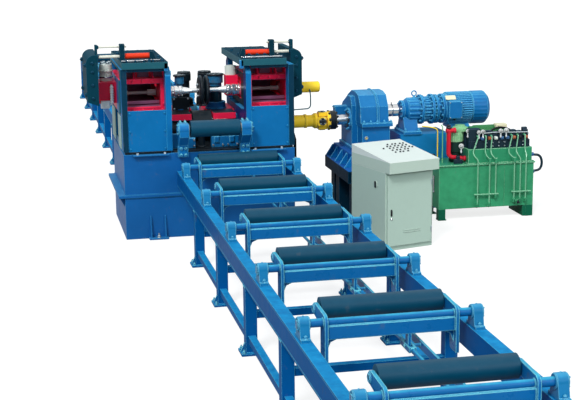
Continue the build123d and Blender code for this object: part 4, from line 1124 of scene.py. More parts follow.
@dataclass
class DriveLine:
    """Bolts, bearing caps and weld rings of the cardan shaft."""

    axis_z: float = 0.945
    joint_x: float = 1.185
    body: str = "drive_line"

    def build(self) -> None:
        """Adds the shaft's small parts, all turning with it."""
        z = self.axis_z
        rim = hex_bolt(0.024, 0.014, 0.003).copied(bolt_circle(0.084, 8, 0.2))
        nuts = hex_bolt(0.022, 0.014, 0.003, 0.006).copied(bolt_circle(0.073, 8, 0.2))
        put("flange_bolts", joined([rim.faced(Facing.LEFT).moved(1.263, 0, z),
                                    nuts.faced(Facing.RIGHT).moved(1.324, 0, z)]), DARK, self.body)
        small = hex_bolt(0.014, 0.009, 0.002).copied(bolt_circle(0.072, 8))
        put("coupling_bolts", small.faced(Facing.RIGHT).moved(0.874, 0, z), ZINC, self.body)
        cap = turned_part([(0, 0.036), (0.005, 0.036), (0.007, 0.034), (0.007, 0.026),
                           (0.004, 0.024), (0.004, 0.014), (0.009, 0.012)], 32)
        screw = hex_bolt(0.012, 0.007, 0.002)
        caps, screws = [], []
        for facing, place in ((Facing.FRONT, (0, -0.084, 0)), (Facing.BACK, (0, 0.084, 0)),
                              (Facing.UP, (0, 0, 0.084)), (Facing.DOWN, (0, 0, -0.084))):
            shift = -0.004 if facing in (Facing.FRONT, Facing.BACK) else 0.004
            at = (self.joint_x + shift, place[1], z + place[2])
            caps.append(cap.faced(facing).moved(*at))
            spots = bolt_circle(0.029, 4, math.pi / 4)
            screws.append(screw.copied(spots).faced(facing).moved(*at))
        put("joint_caps", joined(caps), DARK, self.body)
        put("joint_screws", joined(screws), ZINC, self.body)
        bead = ring_part([(0, 0.0615), (0.002, 0.0655), (0.006, 0.0655), (0.008, 0.0615)], 40)
        put("shaft_weld_rings", joined([bead.faced(Facing.RIGHT).moved(x, 0, z)
                                        for x in (0.8745, 1.0085)]), YELLOW, self.body)


@dataclass
class GearDrive:
    """Dressing of the gear reducer, the cycloid reducer, the motor and the pedestal."""

    roll_z: float = 0.945
    input_z: float = 1.015
    foot_z: float = 0.696
    motor_x0: float = 2.442
    fan_x: float = 2.697
    motor_x1: float = 2.875
    motor_r: float = 0.152

    def build(self) -> None:
        """Adds the drive's small parts."""
        self.gear_case()
        self.reducer()
        self.motor()
        self.terminal_box()
        self.pedestal()

    def gear_case(self) -> None:
        """Bolts of the split flange, foot and covers, and the seal rings."""
        top = hex_bolt(0.024, 0.015, 0.004, 0.01)
        spots = np.concatenate([
            grid_places(np.linspace(1.532, 1.80, 5), [-0.318, 0.318], [self.roll_z]),
            grid_places([1.80], [-0.2, -0.1, 0.1, 0.2], [self.roll_z]),
            grid_places(np.linspace(1.49, 1.80, 4), [-0.315, 0.315], [self.foot_z])])
        cover = hex_bolt(0.018, 0.011, 0.003).copied(bolt_circle(0.096, 10, 0.3))
        inlet = hex_bolt(0.016, 0.01, 0.003).copied(bolt_circle(0.072, 8))
        box_screws = hex_bolt(0.012, 0.007, 0.002).faced(Facing.LEFT).copied(
            grid_places([1.34], [0.072, 0.138], [0.997, 1.058]))
        put("gear_case_bolts", joined([top.copied(spots), box_screws,
                                       cover.faced(Facing.LEFT).moved(1.448, 0, self.roll_z),
                                       inlet.faced(Facing.RIGHT).moved(1.817, 0, self.input_z)]),
            BLUE)
        seal = ring_part([(0, 0.0535), (0, 0.074), (0.008, 0.07), (0.008, 0.0535)], 40)
        put("gear_seal", seal.faced(Facing.LEFT).moved(1.448, 0, self.roll_z), DARK)
        glass = ring_part([(0, 0.008), (0, 0.02), (0.006, 0.018), (0.006, 0.008)], 24)
        lens = turned_part([(0, 0.009), (0.003, 0.008), (0.004, 0.004)], 20)
        spot = (1.56, -0.3, 0.80)
        put("oil_glass_ring", glass.faced(Facing.FRONT).moved(*spot), ZINC)
        put("oil_glass", lens.faced(Facing.FRONT).moved(*spot), YELLOW)
        y = np.array([-0.3, -0.282, -0.2, -0.09, 0.05, 0.21, 0.285, 0.3])
        z = np.array([0.945, 1.1, 1.203, 1.227, 1.227, 1.163, 1.075, 0.945])
        beads = []
        for x in (1.668, 1.69):
            beads += [weld((x, y[k], z[k]), (x, y[k + 1], z[k + 1]), 0.003) for k in range(7)]
        beads.append(weld((1.505, -0.301, 0.947), (1.783, -0.301, 0.947), 0.004))
        beads.append(weld((1.505, 0.301, 0.947), (1.783, 0.301, 0.947), 0.004))
        put("gear_case_beads", joined(beads), BLUE)

    def reducer(self) -> None:
        """Flange bolts, axial ribs, foot bolts and the lifting eye of the cycloid reducer."""
        z, parts = self.input_z, []
        bolt = hex_bolt(0.02, 0.012, 0.003, 0.005)
        ring = bolt.copied(bolt_circle(0.131, 12, 0.13))
        for x in (2.175, 2.285, 2.33, 2.394):
            parts.append(ring.faced(Facing.LEFT).moved(x, 0, z))
        for x in (2.199, 2.309, 2.354):
            parts.append(ring.faced(Facing.RIGHT).moved(x, 0, z))
        face = hex_bolt(0.016, 0.009, 0.002).copied(bolt_circle(0.079, 8))
        parts.append(face.faced(Facing.LEFT).moved(1.985, 0, z))
        foot = hex_bolt(0.026, 0.016, 0.004, 0.012).copied(
            grid_places([2.0, 2.135], [-0.146, 0.146], [0.82]))
        put("reducer_bolts", joined([*parts, foot]), BLUE)
        put("reducer_ribs", self.ribbed(2.202, 2.283, 0.1125, 0.126, 24), BLUE)
        put("reducer_neck_ribs", self.ribbed(2.05, 2.172, 0.1115, 0.121, 16), BLUE)
        t = np.linspace(0, 2 * math.pi, 28, endpoint=False)
        eye = np.stack([2.127 + 0.024 * np.cos(t), np.zeros(28), 1.176 + 0.024 * np.sin(t)], axis=1)
        stem = turned_part([(0, 0.02), (0.012, 0.02), (0.016, 0.011), (0.032, 0.009)], 20)
        put("reducer_eye", joined([tube(eye, 0.0065, 10, True), stem.moved(2.127, 0, 1.126)]), BLUE)
        nipple = turned_part([(0, 0.008), (0.006, 0.008), (0.008, 0.0045), (0.028, 0.0045),
                              (0.03, 0.006), (0.036, 0.004)], 12)
        put("coupling_nipple", nipple.moved(1.895, 0, z + 0.044), DARK, "coupling")

    def ribbed(self, x0: float, x1: float, low: float, high: float, count: int) -> Shell:
        """Ribbed sleeve along X: r(t) = low, or high on the outer half of each of count ribs.

        Args:
            x0: where the sleeve starts.
            x1: where it ends.
            low: radius between the ribs.
            high: radius of the ribs.
            count: number of ribs.

        Returns:
            The sleeve about the motor's axis, its ribs drawn in at both ends.
        """
        step = np.arange(count * 4)
        t = (step + np.where(step % 4 < 2, 0.16, -0.16) * np.where(step % 2, -1, 1)) * (
            2 * math.pi / (count * 4))
        wave = np.where(step % 4 < 2, low, high)
        cut = (x1 - x0) * 0.04
        rows = [(x0, 0.0), (x0 + cut, 1.0), (x1 - cut, 1.0), (x1, 0.0)]
        grid = [np.stack([r * np.cos(t), r * np.sin(t), np.full(len(t), x)], axis=1)
                for x, share in rows for r in [low + (wave - low) * share]]
        return skin(np.stack(grid)).turned([[0, 0, 1], [0, 1, 0], [-1, 0, 0]]).moved(
            0, 0, self.input_z)

    def motor(self) -> None:
        """Cooling ribs, ribs of the fan cover, its grille, and the foot of the motor."""
        put("motor_ribs", self.ribbed(self.motor_x0 + 0.003, self.fan_x - 0.004, self.motor_r - 0.002,
                                      self.motor_r + 0.011, 44), BLUE)
        put("fan_cover_ribs", self.ribbed(self.fan_x + 0.004, self.motor_x1 - 0.036, 0.1598, 0.1645,
                                          26), BLUE)
        back = turned_part([(0, 0.118), (0.0012, 0.117)], 40)
        x, z = self.motor_x1, self.input_z
        put("fan_grille_back", back.faced(Facing.RIGHT).moved(x, 0, z), DARK)
        wires = [ring_part([(0, r), (0, r + 0.004), (0.003, r + 0.003), (0.003, r + 0.001)], 48)
                 for r in np.linspace(0.02, 0.11, 8)]
        spokes = []
        for t in np.linspace(0, math.pi, 4, endpoint=False):
            c, s = math.cos(t), math.sin(t)
            bar = box((-0.116, -0.003, 0.001), (0.116, 0.003, 0.004), 0.001, 0.0008)
            spokes.append(bar.turned([[c, -s, 0], [s, c, 0], [0, 0, 1]]))
        put("fan_grille", joined([*wires, *spokes]).faced(Facing.RIGHT).moved(x, 0, z), BLUE)
        foot = plate([(-0.13, 0), (0.13, 0), (0.13, 0.018), (0.075, 0.06), (-0.075, 0.06),
                      (-0.13, 0.018)], 0.20, 0.004).turned([[0, 0, 1], [1, 0, 0], [0, 1, 0]])
        put("motor_foot", foot.moved(2.47, 0, 0.822), BLUE)

    def terminal_box(self) -> None:
        """Lid, screws, gasket, blank plate and gland of the motor's terminal box."""
        upright = [[1, 0, 0], [0, 0, -1], [0, 1, 0]]
        lid = plate(round_corners(0.134, 0.168, 0.012), 0.010, 0.003).turned(upright)
        gasket = plate(round_corners(0.128, 0.162, 0.01), 0.003, 0.0005).turned(upright)
        screws = hex_bolt(0.01, 0.005, 0.001).faced(Facing.FRONT).copied(
            grid_places([2.437, 2.553], [-0.2065], [0.948, 1.095]))
        put("terminal_gasket", gasket.moved(2.495, -0.1935, 1.0225), RUBBER)
        put("terminal_lid", lid.moved(2.495, -0.1965, 1.0225), BLUE)
        put("terminal_screws", screws, ZINC)
        tilt = math.radians(46)
        blank = plate(round_corners(0.104, 0.052, 0.005), 0.003, 0.0008)
        turn = np.array([[1, 0, 0], [0, math.sin(tilt), -math.cos(tilt)],
                         [0, math.cos(tilt), math.sin(tilt)]])
        at = (2.468, -0.166 * math.cos(tilt), self.input_z + 0.166 * math.sin(tilt))
        put("motor_blank_plate", blank.turned(turn).moved(*at), CREAM)
        gland = turned_part([(0, 0.016), (0.01, 0.016), (0.012, 0.012), (0.026, 0.011),
                             (0.03, 0.008)], 16)
        put("terminal_gland", gland.faced(Facing.DOWN).moved(2.5, -0.15, 0.941), DARK)

    def pedestal(self) -> None:
        """Anchor bolts, gussets and weld beads of the pedestal."""
        legs = [(1.365, y) for y in (-0.53, 0.0, 0.2)] + [(1.80, y) for y in (-0.53, 0.0, 0.2)]
        anchors, gussets = [], []
        rib = plate([(0, 0), (0.06, 0), (0, -0.09)], 0.01)
        for x, y in legs:
            anchors.append(grid_places([x - 0.01, x + 0.14], [y - 0.01, y + 0.14], [0.016]))
            upright = rib.turned([[0, 0, 1], [-1, 0, 0], [0, 1, 0]])
            gussets.append(upright.moved(x + 0.06, y, 0.4245))
        anchors.append(grid_places([2.30, 2.43], [0.03, 0.16], [0.016]))
        put("pedestal_anchors", hex_bolt(0.014, 0.01, 0.002, 0.01).copied(np.concatenate(anchors)),
            ZINC)
        put("pedestal_gussets", joined(gussets), PEDESTAL)
        web = plate([(0, 0), (0.084, 0), (0.084, 0.108), (0.07, 0.108)], 0.012, 0.002)
        web = web.turned([[1, 0, 0], [0, 0, -1], [0, 1, 0]]).moved(1.31, 0, 0.5405)
        put("pedestal_webs", joined([web.moved(0, y, 0) for y in (-0.40, -0.21, -0.02, 0.17, 0.345)]),
            BLUE)
        beads = [weld((1.395, -0.421, 0.541), (1.93, -0.421, 0.541)),
                 weld((1.394, -0.42, 0.541), (1.394, 0.35, 0.541)),
                 weld((1.945, -0.151, 0.661), (1.945, -0.151, 0.789)),
                 weld((1.305, -0.591, 0.426), (1.99, -0.591, 0.426))]
        put("pedestal_beads", joined(beads), PEDESTAL)


@dataclass
class PowerPack:
    """Pumps, pipes, gauges, valves and fittings of the hydraulic power pack."""

    deck_z: float = 0.542
    block_z: float = 0.68
    front_y: float = -0.55
    lip_y: float = -0.562

    def build(self) -> None:
        """Adds everything on and in front of the tank."""
        self.left_pipes()
        self.upright_pump()
        self.lying_motor()
        self.valves()
        self.front_tubes()
        self.tank_parts()

    def left_pipes(self) -> None:
        """Yellow return pipe, thin green pipe and the thick red suction pipe with its tee."""
        yellow = pipe([(2.262, -0.35, self.deck_z), (2.262, -0.35, 0.868), (2.20, -0.325, 0.884),
                       (2.135, -0.25, 0.884)], 0.006, 0.03)
        flange = turned_part([(0, 0.014), (0.01, 0.014), (0.012, 0.009), (0.022, 0.009)], 14)
        put("return_pipe", joined([yellow, flange.moved(2.262, -0.35, self.deck_z)]), YELLOW)
        thin = pipe([(2.296, -0.4, self.deck_z), (2.296, -0.4, 0.894), (2.296, -0.36, 0.905)],
                    0.0055, 0.012)
        put("vent_pipe", thin, PALE_GREEN)
        run = pipe([(2.345, -0.44, 0.862), (2.345, -0.44, 0.605), (2.505, -0.44, 0.582)], 0.021,
                   0.045, 20)
        tee = turned_part([(0, 0.022), (0.006, 0.027), (0.016, 0.027), (0.018, 0.022), (0.078, 0.022),
                           (0.08, 0.028), (0.092, 0.028), (0.096, 0.024)], 24)
        cap = turned_part([(0, 0.027), (0.012, 0.027), (0.016, 0.02), (0.03, 0.019),
                           (0.034, 0.014)], 24)
        cuff = turned_part([(0, 0.026), (0.014, 0.026), (0.018, 0.022)], 24)
        put("suction_pipe", joined([run, tee.faced(Facing.RIGHT).moved(2.318, -0.44, 0.862),
                                    cuff.faced(Facing.RIGHT).moved(2.50, -0.44, 0.5825)]), PIPE_RED)
        put("suction_cap", joined([cap.moved(2.345, -0.44, 0.884),
                                   cap.faced(Facing.RIGHT).moved(2.516, -0.44, 0.5825)]), DARK)
        valve = joined([box((2.385, -0.50, self.deck_z), (2.47, -0.47, 0.585), 0.006),
                        turned_part([(0, 0.02), (0.03, 0.02), (0.034, 0.014)], 18).moved(
                            2.425, -0.485, 0.585)])
        put("suction_valve", valve, NAVY)

    def upright_pump(self) -> None:
        """Ribbed motor of the upright pump: r(t) is wavy, drawn in at the top."""
        t = np.linspace(0, 2 * math.pi, 96, endpoint=False)
        wave = np.where(np.arange(96) % 4 < 2, 1.0, 0.0)
        rows = [(0.742, 0.078, 0.0), (0.746, 0.0785, 0.006), (0.832, 0.0785, 0.006), (0.836, 0.078, 0.0)]
        grid = [np.stack([(r + d * wave) * np.cos(t), (r + d * wave) * np.sin(t),
                          np.full(96, z)], axis=1) for z, r, d in rows]
        sleeve = skin(np.stack(grid)).moved(2.437, -0.35, 0)
        head = [(0.838, 0.07, 0.0), (0.842, 0.074, 0.004), (0.872, 0.074, 0.004), (0.884, 0.064, 0.0),
                (0.886, 0.05, 0.0), (0.9, 0.046, 0.0)]
        grid = [np.stack([(r + d * wave) * np.cos(t), (r + d * wave) * np.sin(t),
                          np.full(96, z)], axis=1) for z, r, d in head]
        put("upright_motor_ribs", joined([sleeve, skin(np.stack(grid)).moved(2.488, -0.35, 0)]),
            PALE_GREEN)
        foot = hex_bolt(0.014, 0.009, 0.002).copied(bolt_circle(0.05, 4, math.pi / 4))
        put("upright_pump_bolts", foot.moved(2.437, -0.35, 0.663), ZINC)

    def lying_motor(self) -> None:
        """Ribs, end cover and terminal box of the lying motor."""
        t = np.linspace(0, 2 * math.pi, 128, endpoint=False)
        wave = np.where(np.arange(128) % 4 < 2, 1.0, 0.0)
        rows = [(2.655, 0.0765, 0.0), (2.66, 0.0765, 0.008), (2.93, 0.0765, 0.008), (2.935, 0.0765, 0.0)]
        grid = [np.stack([(r + d * wave) * np.cos(t), (r + d * wave) * np.sin(t),
                          np.full(128, x)], axis=1) for x, r, d in rows]
        ribs = skin(np.stack(grid)).turned([[0, 0, 1], [0, 1, 0], [-1, 0, 0]])
        put("lying_motor_ribs", ribs.moved(0, -0.265, 0.79), PUMP_GREEN)
        cover = turned_part([(0, 0.081), (0.006, 0.083), (0.04, 0.083), (0.05, 0.07)], 36)
        put("lying_motor_cover", cover.faced(Facing.RIGHT).moved(2.938, -0.265, 0.79), PUMP_GREEN)
        top = box((2.862, -0.345, 0.846), (2.978, -0.262, 0.888), 0.01, 0.004)
        put("lying_motor_box", top, CREAM)

    def valves(self) -> None:
        """Solenoid coils in front of the manifold, gauges, the top rail and the arched pipe."""
        coil = joined([box((-0.015, -0.015, 0), (0.015, 0.015, 0.034), 0.005, 0.002),
                       turned_part([(0.034, 0.009), (0.044, 0.009), (0.047, 0.006)], 16)])
        shades = {BLACK: [], COIL_BLUE: [], COIL_ORANGE: [], PALE: []}
        row = ((2.666, COIL_BLUE), (2.743, COIL_ORANGE), (2.806, PALE), (2.867, COIL_BLUE),
               (2.925, COIL_BLUE), (2.992, COIL_ORANGE), (3.052, BLACK), (3.116, COIL_ORANGE))
        for x, shade in row:
            shades[shade].append(coil.faced(Facing.FRONT).moved(x, -0.4755, 0.778))
        for shade, shells in shades.items():
            if shells:
                put(f"valve_coils_{shade.name}", joined(shells), shade)
        stacks = [box((x - 0.026, -0.476, 0.812), (x + 0.026, -0.42, 0.836 + 0.012 * (k % 2)), 0.004)
                  for k, (x, shade) in enumerate(row)]
        body = joined([box((2.534, -0.484, 0.753), (2.655, -0.395, 0.872), 0.008, 0.003),
                       box((2.534, -0.484, 0.6805), (2.549, -0.395, 0.753), 0.003),
                       box((2.521, -0.394, 0.6805), (2.565, -0.30, 0.834), 0.005), *stacks,
                       box((3.09, -0.46, 0.80), (3.14, -0.42, 0.866), 0.006)])
        put("valve_stack", body, NAVY)
        rail = pipe([(2.675, -0.482, 0.80), (2.675, -0.482, 0.826), (2.79, -0.482, 0.832),
                     (2.955, -0.482, 0.826), (3.14, -0.482, 0.822), (3.14, -0.482, 0.80)], 0.0055,
                    0.015, 8)
        screws = hex_bolt(0.012, 0.012, 0.0).faced(Facing.FRONT).copied(
            grid_places([2.60, 2.71, 2.775, 2.836, 2.896, 2.958, 3.022, 3.084], [-0.49],
                        [0.70, 0.735]))
        put("valve_rail", rail, ZINC)
        put("valve_screws", screws, ZINC)
        case = turned_part([(0, 0.026), (0.014, 0.026), (0.017, 0.0235), (0.0165, 0.021)], 32)
        dial = turned_part([(0.0166, 0.0206), (0.0169, 0.002)], 28)
        hand = box((-0.0012, -0.002, 0.0171), (0.0012, 0.015, 0.0178), 0.0004, 0.0003)
        stem = turned_part([(-0.045, 0.006), (-0.04, 0.009), (-0.028, 0.009), (-0.026, 0.006),
                            (0.0, 0.006)], 10)
        cases, dials, hands = [], [], []
        for k, (x, y, z, size) in enumerate(((2.457, -0.48, 0.712, 0.95), (2.528, -0.46, 0.85, 0.7),
                                             (2.628, -0.50, 0.841, 0.75), (2.669, -0.50, 0.846, 0.8),
                                             (2.85, -0.50, 0.846, 0.85), (2.906, -0.50, 0.850, 0.9))):
            at = Facing.FRONT
            spin = math.radians(40 - 33 * k)
            turn = [[math.cos(spin), -math.sin(spin), 0], [math.sin(spin), math.cos(spin), 0],
                    [0, 0, 1]]
            cases.append(Shell(case.points * size, case.quads, case.ends).faced(at).moved(x, y, z))
            dials.append(Shell(dial.points * size, dial.quads, dial.ends).faced(at).moved(x, y, z))
            hands.append(hand.turned(turn).faced(at).moved(x, y, z))
            cases.append(stem.moved(x, y - 0.006, z - 0.022 * size))
        put("gauge_cases", joined(cases), BRIGHT)
        put("gauge_dials", joined(dials), LAMP_WHITE)
        put("gauge_hands", joined(hands), BLACK)
        arch = pipe([(2.752, -0.42, 0.81), (2.80, -0.41, 0.85), (2.87, -0.40, 0.868),
                     (2.95, -0.40, 0.856), (3.045, -0.41, 0.80)], 0.0095, 0.03, 14)
        put("return_pipe_black", arch, RUBBER)

    def front_tubes(self) -> None:
        """Six thin tubes from the valves over the lip and down the tank, with unions and bars."""
        tops = (2.622, 2.70, 2.76, 2.967, 3.028, 3.099)
        knees = (2.560, 2.683, 2.741, 2.922, 3.0, 3.092)
        drops = (2.598, 2.718, 2.781, 2.971, 3.032, 3.090)
        lows = (0.15, 0.15, 0.23, 0.18, 0.18, 0.18)
        tubes, unions = [], []
        union = joined([hex_bolt(0.02, 0.014, 0.0), turned_part([(0.014, 0.008), (0.02, 0.008),
                                                                 (0.022, 0.006)], 12)])
        for top, knee, drop, low in zip(tops, knees, drops, lows):
            tubes.append(pipe([(top, -0.49, 0.80), (top, -0.512, 0.80), (knee, -0.535, 0.655),
                               (knee + 0.006, -0.56, 0.62), (drop, -0.578, 0.585),
                               (drop, -0.578, low)], 0.0062, 0.02, 8))
            unions.append(union.faced(Facing.FRONT).moved(top, -0.478, 0.80))
            unions.append(union.moved(drop, -0.578, low - 0.004))
        put("front_tubes", joined(tubes), PIPE_GREEN)
        elbow = joined([pipe([(drop, -0.578, low), (drop, -0.578, low - 0.03), (drop, -0.551, low - 0.03)],
                             0.009, 0.014, 10) for drop, low in zip(drops, lows)])
        put("tube_unions", joined([*unions, elbow]), GREEN)
        bars = [box((2.565, -0.588, 0.240), (2.812, -0.568, 0.251), 0.003),
                box((2.945, -0.588, 0.251), (3.145, -0.568, 0.262), 0.003)]
        lugs = [box((x, -0.57, z), (x + 0.014, -0.5505, z + 0.009), 0.002)
                for x, z in ((2.575, 0.241), (2.79, 0.241), (2.955, 0.252), (3.112, 0.252))]
        put("tube_bars", joined([*bars, *lugs]), PIPE_GREEN)
        sleeves = [turned_part([(0, 0.008), (0.002, 0.013), (0.052, 0.013), (0.054, 0.008)], 14).moved(
            x, -0.578, 0.545) for x in drops[1:4]]
        put("tube_sleeves", joined(sleeves), COVER_GREEN)

    def tank_parts(self) -> None:
        """Cover bolts, level gauge, filler, drain valve, end panel, seams and the side pipe."""
        spots = np.concatenate([
            grid_places(np.linspace(2.222, 3.175, 9), [-0.549], [self.deck_z]),
            grid_places([2.222], [-0.45, -0.27, -0.17], [self.deck_z])])
        put("cover_bolts", hex_bolt(0.013, 0.008, 0.002).copied(spots), GREEN)
        sides = [box((3.076, -0.5485, 0.001), (3.1095, -0.5405, 0.109), 0.002),
                 box((3.076, -0.5405, 0.001), (3.084, -0.18, 0.109), 0.002)]
        put("tank_end_panel", joined(sides), DEEP_GREEN)
        seams = [weld((2.216, -0.5505, 0.528), (3.179, -0.5505, 0.528)),
                 weld((2.2145, -0.549, 0.528), (2.2145, -0.171, 0.528)),
                 weld((2.88, -0.5505, 0.112), (2.88, -0.5505, 0.528), 0.003)]
        put("tank_seams", joined(seams), GREEN)
        drain = turned_part([(0, 0.028), (0.008, 0.028), (0.01, 0.02), (0.022, 0.02)], 24)
        plug = hex_bolt(0.026, 0.012, 0.0)
        put("drain_flange", drain.faced(Facing.FRONT).moved(3.02, -0.5505, 0.15), GREEN)
        put("drain_plug", plug.faced(Facing.FRONT).moved(3.02, -0.5725, 0.15), DARK)
        filler = turned_part([(0, 0.04), (0.006, 0.04), (0.008, 0.03), (0.03, 0.03), (0.032, 0.034),
                              (0.05, 0.034), (0.056, 0.026)], 28)
        put("oil_filler", filler.moved(2.25, -0.22, self.deck_z), DARK)
        level = joined([box((2.2105, -0.42, 0.25), (2.2145, -0.38, 0.42), 0.008, 0.002),
                        turned_part([(0, 0.009), (0.006, 0.008)], 14).faced(Facing.LEFT).moved(
                            2.2105, -0.4, 0.262)])
        put("level_gauge", level, CHROME)
        loop = pipe([(3.15, -0.50, 0.602), (3.262, -0.50, 0.592), (3.289, -0.50, 0.52),
                     (3.27, -0.50, 0.445), (3.17, -0.50, 0.432)], 0.0125, 0.04, 14)
        nut = hex_bolt(0.034, 0.026, 0.004).faced(Facing.RIGHT)
        put("side_pipe", loop, NAVY)
        put("side_pipe_nut", joined([nut.moved(3.166, -0.50, 0.602),
                                     nut.moved(3.1755, -0.50, 0.432)]), COIL_BLUE)


@dataclass
class ControlConsole:
    """Buttons, lock, handle, louvres and hinges of the console, in its own turned frame."""

    centre: tuple[float, float] = (1.545, -1.235)
    turn: float = 15.5
    door_v: float = -0.3003
    left_u: float = -0.245

    def set(self, shell: Shell) -> Shell:
        """Moves a shell from the console's frame (u across, v back) into the world."""
        c, s = math.cos(math.radians(self.turn)), math.sin(math.radians(self.turn))
        return shell.turned([[c, -s, 0], [s, c, 0], [0, 0, 1]]).moved(*self.centre, 0)

    def lid_z(self, v: float) -> float:
        """Height of the sloping lid."""
        return 0.805 + (v + 0.36) * 0.075 / 0.66

    def build(self) -> None:
        """Adds the console's small parts."""
        self.panel()
        self.door_parts()
        self.side_parts()

    def panel(self) -> None:
        """Push buttons with their rings, and the screws of the lid."""
        tilt = math.atan(0.075 / 0.66)
        lean = [[1, 0, 0], [0, math.cos(tilt), -math.sin(tilt)], [0, math.sin(tilt), math.cos(tilt)]]
        button = turned_part([(0, 0.0095), (0.002, 0.0095), (0.003, 0.008), (0.008, 0.008),
                              (0.01, 0.0065)], 18)
        ring = ring_part([(0, 0.0095), (0, 0.0115), (0.0012, 0.0112), (0.0012, 0.0095)], 18)
        rows = ((-0.11, (0, 1, 2, 3)), (-0.035, (0, 1, 2, 3, 4)), (0.04, (0, 1, 2, 3, 4, 5)),
                (0.11, (0, 1, 2, 3, 4, 5)), (0.18, (1, 2, 3, 4, 5)))
        places = [(-0.012 + 0.041 * k + 0.005 * n + 0.005 * math.sin(7 * v + 3 * k), 0.035 + 0.82 * (v - 0.035))
                  for n, (v, row) in enumerate(rows) for k in row]
        places += [(-0.06, 0.05), (0.226, 0.02)]
        buttons, rings = [], []
        for u, v in places:
            at = (u, v, self.lid_z(v) + 0.0003)
            buttons.append(button.turned(lean).moved(*at))
            rings.append(ring.turned(lean).moved(*at))
        put("console_buttons", self.set(joined(buttons)), BLACK)
        put("console_button_rings", self.set(joined(rings)), ZINC)
        screws = turned_part([(0, 0.006), (0.002, 0.006), (0.004, 0.003)], 12).turned(lean)
        spots = [(u, v, self.lid_z(v)) for u in (-0.235, 0.255) for v in (-0.33, 0.28)]
        put("console_lid_screws", self.set(screws.copied(np.array(spots))), LID)

    def door_parts(self) -> None:
        """Handle, key barrel, hinge pins and louvres that swing with the door."""
        handle = joined([plate(round_corners(0.018, 0.062, 0.008), 0.003, 0.001),
                         plate(round_corners(0.01, 0.044, 0.0045), 0.011, 0.002)])
        upright = [[1, 0, 0], [0, 0, -1], [0, 1, 0]]
        barrel = turned_part([(0, 0.011), (0.003, 0.011), (0.005, 0.008), (0.008, 0.007)], 20)
        put("door_handle", self.set(handle.turned(upright).moved(-0.19, self.door_v, 0.345)), BLACK,
            "door")
        put("door_lock", self.set(barrel.faced(Facing.FRONT).moved(-0.19, self.door_v, 0.29)),
            CHROME, "door")
        pin = turned_part([(0, 0.0055), (0.0012, 0.0062), (0.052, 0.0062), (0.0535, 0.0055)], 14)
        pins = [self.set(pin.moved(0.227, self.door_v, z)) for z in (0.13, 0.56)]
        put("door_hinge_pins", joined(pins), ZINC, "door")
        slat = plate([(-0.088, 0), (0.088, 0), (0.084, 0.006), (-0.084, 0.006)], 0.005, 0.001)
        slats = [slat.turned(upright).moved(0.02, self.door_v, z) for z in (0.155, 0.172)]
        put("door_louvres", self.set(joined(slats)), CONSOLE, "door")

    def side_parts(self) -> None:
        """Round plate with its dark catch on the left side, and the foot rail."""
        disc = turned_part([(0, 0.036), (0.0015, 0.036), (0.0025, 0.034)], 32)
        catch = plate(round_corners(0.024, 0.062, 0.008), 0.005, 0.0015)
        side = [[0, 0, -1], [-1, 0, 0], [0, 1, 0]]
        put("side_catch_plate", self.set(disc.faced(Facing.LEFT).moved(self.left_u, -0.121, 0.578)),
            CONSOLE)
        put("side_catch", self.set(catch.turned(side).moved(self.left_u - 0.0027, -0.121, 0.578)),
            BLACK)
        rail = [box((-0.24, self.door_v + 0.018, 0.002), (0.24, self.door_v + 0.022, 0.038), 0.002),
                box((-0.2485, -0.28, 0.002), (-0.2455, 0.295, 0.03), 0.002)]
        put("console_foot", self.set(joined(rail)), CONSOLE)


